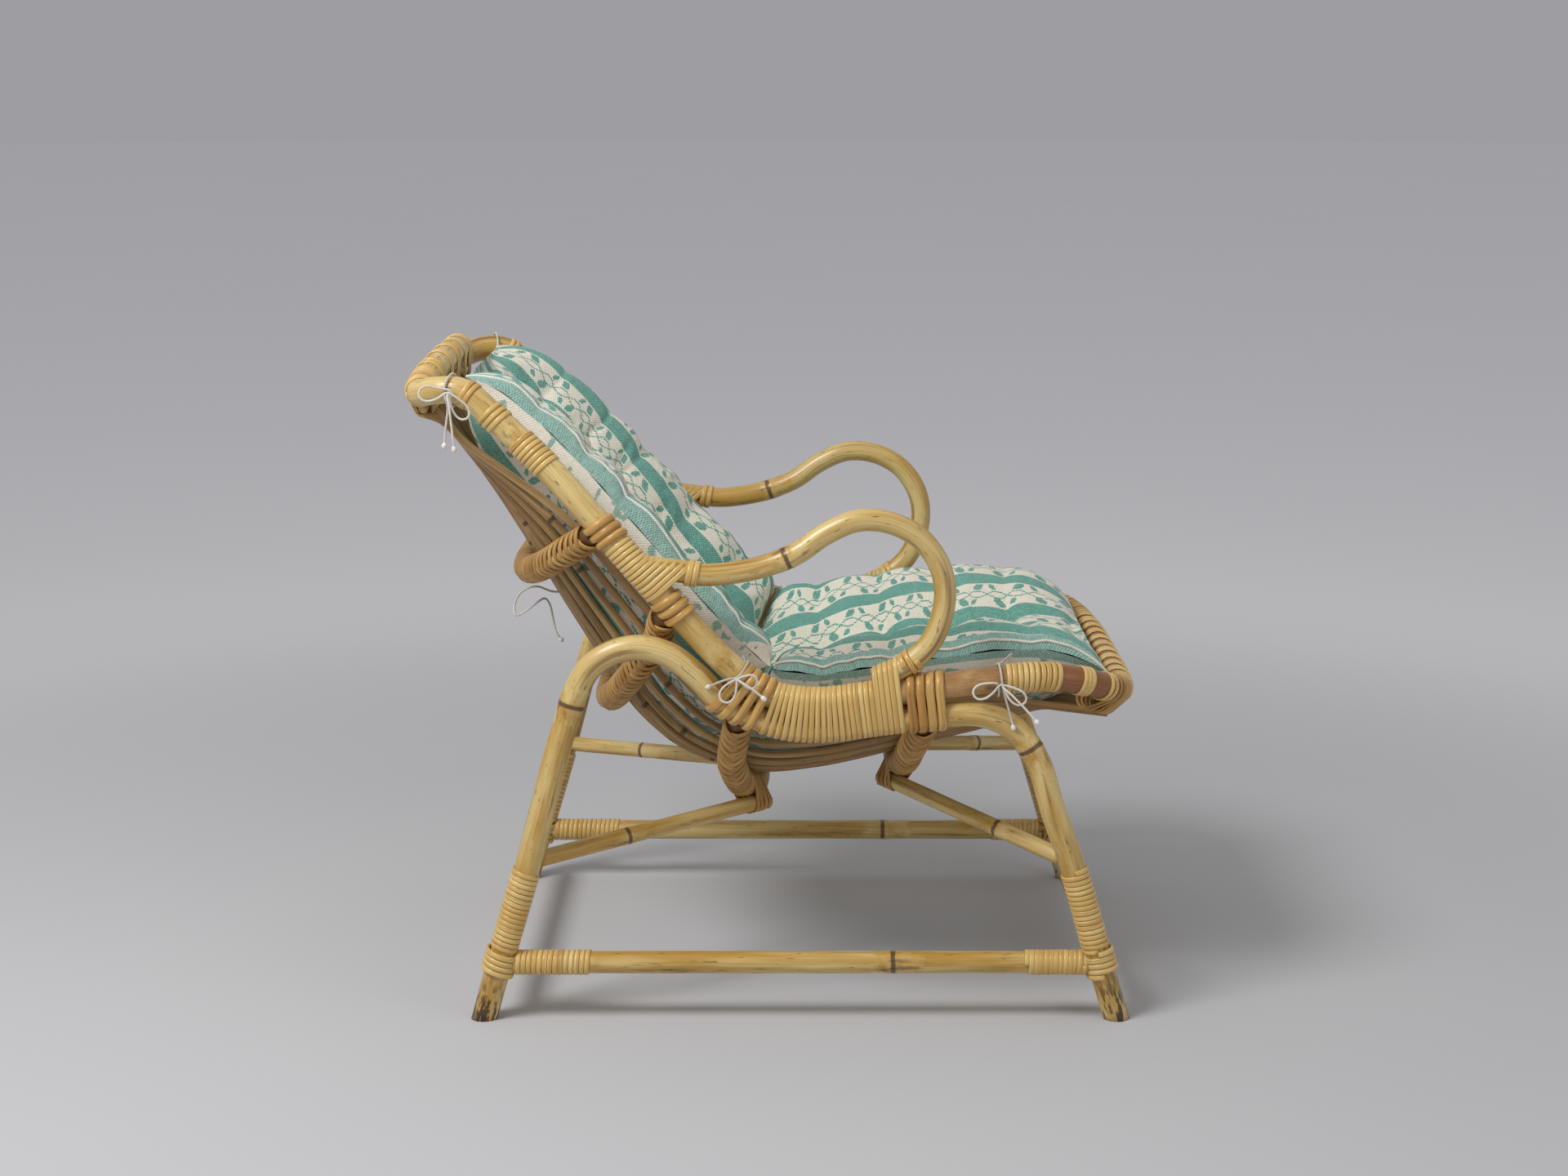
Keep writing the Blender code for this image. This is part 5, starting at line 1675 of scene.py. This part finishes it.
def cotton_finish():
    material, shader, place = new_finish("white cotton cord")
    own = Thread(place.outputs["UV"])
    twist = (own.part(0) * TWIST_RATE + own.part(1) * (2 * math.pi)).sine()
    soil = Thread(place.outputs["Object"]).cloud(40.0, 3.0)
    soil.ramp(0.35, 0.75).tint(CLEAN_COTTON, SOILED_COTTON).into(shader, "Base Color")
    (twist * 0.6 + soil * 0.6).bump(0.7, 0.0004).into(shader, "Normal")
    shader.inputs["Roughness"].default_value = 0.85
    shader.inputs["Specular IOR Level"].default_value = 0.2
    return material


COTTON = cotton_finish()
print("the piping turns once in %.1f mm" % (2000 * math.pi / TWIST_RATE))

# %% [markdown]
# The wadding is a push from inside. Blender's Cloth with pressure and no gravity blows the top
# up for twenty steps. The points that a stitch or a seam holds are pinned, and how far the rest
# may move is capped and taken down near the stitches. The moved points are then copied back, so
# no simulation is left on the piece, and one subdivision makes the cloth smooth.

# %% Fill the cushions
SWELL_CAP = 0.024
SWELL_SHARE = 0.75
SWELL_STEPS = 20
HELD_BELOW = 0.12
PIPING_RADIUS = 0.0019
PIPING_STEP = 0.006
PIPING_SIDES = 8
WADDING = {
    "quality": 5,
    "mass": 0.3,
    "tension_stiffness": 12.0,
    "compression_stiffness": 8.0,
    "shear_stiffness": 4.0,
    "bending_stiffness": 0.4,
    "vertex_group_mass": "held",
    "use_pressure": True,
    "uniform_pressure_force": 4.0,
    "shrink_min": -0.035,
}


def swell(piece):
    """Blows the fabric up with cloth and pressure, and keeps where the points end."""
    held = piece.vertex_groups.new(name="held")
    free = [item.value for item in piece.data.attributes["Free"].data]
    for index, share in enumerate(free):
        if share < HELD_BELOW:
            held.add([index], 1.0, "REPLACE")
    cloth = piece.modifiers.new("wadding", "CLOTH")
    for setting, value in WADDING.items():
        setattr(cloth.settings, setting, value)
    cloth.settings.effector_weights.gravity = 0.0
    cloth.collision_settings.use_collision = False
    scene = bpy.context.scene
    for step in range(1, SWELL_STEPS + 1):
        scene.frame_set(step)
    done = piece.evaluated_get(bpy.context.evaluated_depsgraph_get())
    ends = [vert.co.copy() for vert in done.data.vertices]
    farthest = 0.0
    for vert, end, share in zip(piece.data.vertices, ends, free):
        move = end - vert.co
        if move.length > SWELL_CAP:
            move *= SWELL_CAP / move.length
        farthest = max(farthest, move.length)
        vert.co += move * (share * SWELL_SHARE)
    piece.modifiers.remove(cloth)
    scene.frame_set(1)
    return farthest


def seam_points(mesh, side):
    """The points of one long seam, from the crease to the rim."""
    seam = mesh.attributes["Seam"].data
    found = {}
    uv = mesh.uv_layers.active.data
    for loop in mesh.loops:
        spot = uv[loop.index].uv
        if seam[loop.vertex_index].value > 0.5 and spot.x * side > 0:
            found[loop.vertex_index] = spot.y
    return [mesh.vertices[index].co.copy() for index in sorted(found, key=found.get)]


def make_cushion(cushion):
    """Sews, fills and pipes a cushion, and says how far it swelled."""
    name = cushion.node
    piece = finish_piece(name + "_filled", sew_fabric(cushion), FABRIC, (name,))
    moved = swell(piece)
    smooth = piece.modifiers.new("smooth cloth", "SUBSURF")
    smooth.levels = 1
    smooth.render_levels = 1
    shape = bmesh.new()
    for side in (-1, 1):
        line = evenly(seam_points(piece.data, side), PIPING_STEP)
        rings = []
        for spot, (_, one, other) in zip(line, cross_frames(line)):
            ring = []
            for n in range(PIPING_SIDES):
                turn = 2 * math.pi * n / PIPING_SIDES
                ring.append(spot + (one * math.cos(turn) + other * math.sin(turn)) * PIPING_RADIUS)
            rings.append(ring)
        add_skin(shape, rings)
    finish_piece(name + "_piping", shape, COTTON)
    return moved


for cushion in CUSHIONS:
    print(cushion.node, "swelled by up to %.1f mm" % (make_cushion(cushion) * 1000))

# %% [markdown]
# ## The ties
#
# Each side has three white cords, and one more comes out through the back. Such a cord is sewn
# to the cushion at its middle: one half goes over the pole and hangs down, and the other goes
# under it, makes the two loops of a bow and hangs down beside the first. Each half is one free
# cord with a small knot at its end. The cord at the back hangs down in one open loop.

# %% Cord routes
TIES = (
    ("tie_top", -0.402, (0.200, -0.392, 0.782),
     ((176, 0.036), (55, 0.038)), ((97, 0.060), (84, 0.062))),
    ("tie_seat_rear", -0.056, (0.262, -0.050, 0.452),
     ((122, 0.034), (12, 0.024)), ((170, 0.036), (28, 0.036))),
    ("tie_seat_front", 0.262, (0.250, 0.280, 0.452),
     ((158, 0.036), (38, 0.036)), ((72, 0.052), (42, 0.058))),
)
BACK_TIE = ((-0.007, -0.2806, 0.4869), (-0.007, -0.2852, 0.4843), (-0.007, -0.304, 0.483),
            (-0.012, -0.326, 0.491), (-0.018, -0.345, 0.484), (-0.026, -0.353, 0.468),
            (-0.040, -0.350, 0.458), (-0.050, -0.338, 0.464), (-0.049, -0.322, 0.476),
            (-0.038, -0.312, 0.480), (-0.030, -0.306, 0.470), (-0.030, -0.302, 0.450),
            (-0.034, -0.298, 0.434), (-0.032, -0.292, 0.424))
TIE_LAYER = 0.0042
BOW_POINTS = 8
BOW_WIDTH = 0.018
TAIL_SAG = 0.006
CLEARANCE = 0.0003
KNOT_RADIUS = 0.0032
KNOT_ROUGH = 0.0009
KNOT_STRETCH = 0.25
CORD_STEP = 0.005
print("ties on each side:", [row[0] for row in TIES])


def bow_loop(angle, length):
    """One loop of a bow, out from the knot and back: (forward, down) from the knot."""
    ahead = math.cos(math.radians(angle))
    below = math.sin(math.radians(angle))
    spots = []
    for step in range(1, BOW_POINTS):
        turn = math.pi * step / BOW_POINTS
        out = length * math.sin(turn)
        across = BOW_WIDTH / 2 * math.sin(2 * turn)
        spots.append((ahead * out - below * across, below * out + ahead * across))
    return spots


def tie_halves(anchor, run, cushion, loops, tails):
    """Both halves of a tie, each from the cushion to its end."""
    outward = Vector((1, 0, 0))
    spoke_out = (outward - run * outward.dot(run)).normalized()
    spoke_down = run.cross(spoke_out).normalized()
    if spoke_down.z > 0:
        spoke_down = -spoke_down
    corner = math.radians(45)
    round_pole = (RAIL_RADIUS + TIE_RADIUS + CLEARANCE) / math.cos(corner / 2)

    def on_pole(corners, shift):
        turn = corners * corner
        spoke = spoke_out * math.cos(turn) - spoke_down * math.sin(turn)
        return anchor + spoke * round_pole + run * shift

    def off_pole(layer, ahead, below):
        reach = RAIL_RADIUS + TIE_RADIUS + CLEARANCE + layer * TIE_LAYER
        return anchor + Vector((reach, -ahead, -below))

    def tail(angle, length, layer):
        turn = math.radians(angle)
        return [off_pole(layer, length * share * math.cos(turn),
                         length * share * math.sin(turn) + TAIL_SAG * share * share)
                for share in (0.3, 0.65, 1.0)]

    clear = TIE_LAYER if tails[0][0] > 90 else -TIE_LAYER
    over = [cushion] + [on_pole(corners, 0.0) for corners in (3, 2, 1, 0)] + tail(*tails[0], 0)
    under = [cushion] + [on_pole(corners, clear) for corners in (5, 6, 7)]
    under.append(off_pole(1, clear, 0.0))
    for number, (angle, length) in enumerate(loops, 1):
        for step, (ahead, below) in enumerate(bow_loop(angle, length), 1):
            under.append(off_pole(number + step / BOW_POINTS, ahead, below))
        under.append(off_pole(number + 1, 0.0, 0.0))
    return over, under + tail(*tails[1], len(loops) + 2)


# %% [markdown]
# A cord is a curve with a round bevel. Its knot is a small ball, made rough by noise and drawn out
# along the cord.

# %% Cords and their knots
def knot(name, spot, run):
    """The small knot at the end of a cord: a rough ball, drawn out along it."""
    shape = bmesh.new()
    bmesh.ops.create_uvsphere(shape, u_segments=12, v_segments=8, radius=KNOT_RADIUS)
    for face in shape.faces:
        face.smooth = True
    for vert in shape.verts:
        rough = noise.noise(vert.co * 700.0 + spot * 40.0) * KNOT_ROUGH
        stretch = run * (vert.co.dot(run) * KNOT_STRETCH)
        vert.co += vert.co.normalized() * rough + stretch + spot
    return finish_piece(name, shape, COTTON)


def make_cord(name, points, node):
    """A free cord along the points, ending in its knot."""
    line = flow(points, CORD_STEP)
    curve = bpy.data.curves.new(name, "CURVE")
    curve.dimensions = "3D"
    spline = curve.splines.new("POLY")
    spline.points.add(len(line) - 1)
    for spot, point in zip(spline.points, line):
        spot.co = (*point, 1.0)
    spline.use_smooth = True
    curve.bevel_depth = TIE_RADIUS
    curve.bevel_resolution = 2
    curve.use_fill_caps = True
    curve.materials.append(COTTON)
    piece = bpy.data.objects.new(name, curve)
    bpy.context.collection.objects.link(piece)
    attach(piece, "root")
    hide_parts(node)
    end = knot(name + "_knot", line[-1], (line[-1] - line[-2]).normalized())
    length = running_lengths(line)[-1]
    tuple(line[0])
    return length


for name, forward, cushion, loops, tails in TIES:
    spot = length_where(RAIL_SIDE, forward_of, forward)
    anchor, run, _ = frame_at(RAIL_SIDE, RAIL_LENGTHS, spot, 0.03)
    halves = tie_halves(anchor, run, at(*cushion), loops, tails)
    for side_name, side in SIDES:
        for part_name, half in zip(("over", "under"), halves):
            node = "%s_%s" % (name, side_name)
            length = make_cord("%s_%s" % (node, part_name), on_side(half, side), node)
            print(node, part_name, "%.0f mm" % (length * 1000))
print("tie_back %.0f mm" % (make_cord("tie_back_cord", [at(*p) for p in BACK_TIE],
                                      "tie_back") * 1000))

# %% [markdown]
# Last, the box of the imported chair and the box of the finished one are put side by side as the
# cell's value.

# %% Sizes and the end
[[list(corner) for corner in box] for box in (CAD_BOX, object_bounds())]
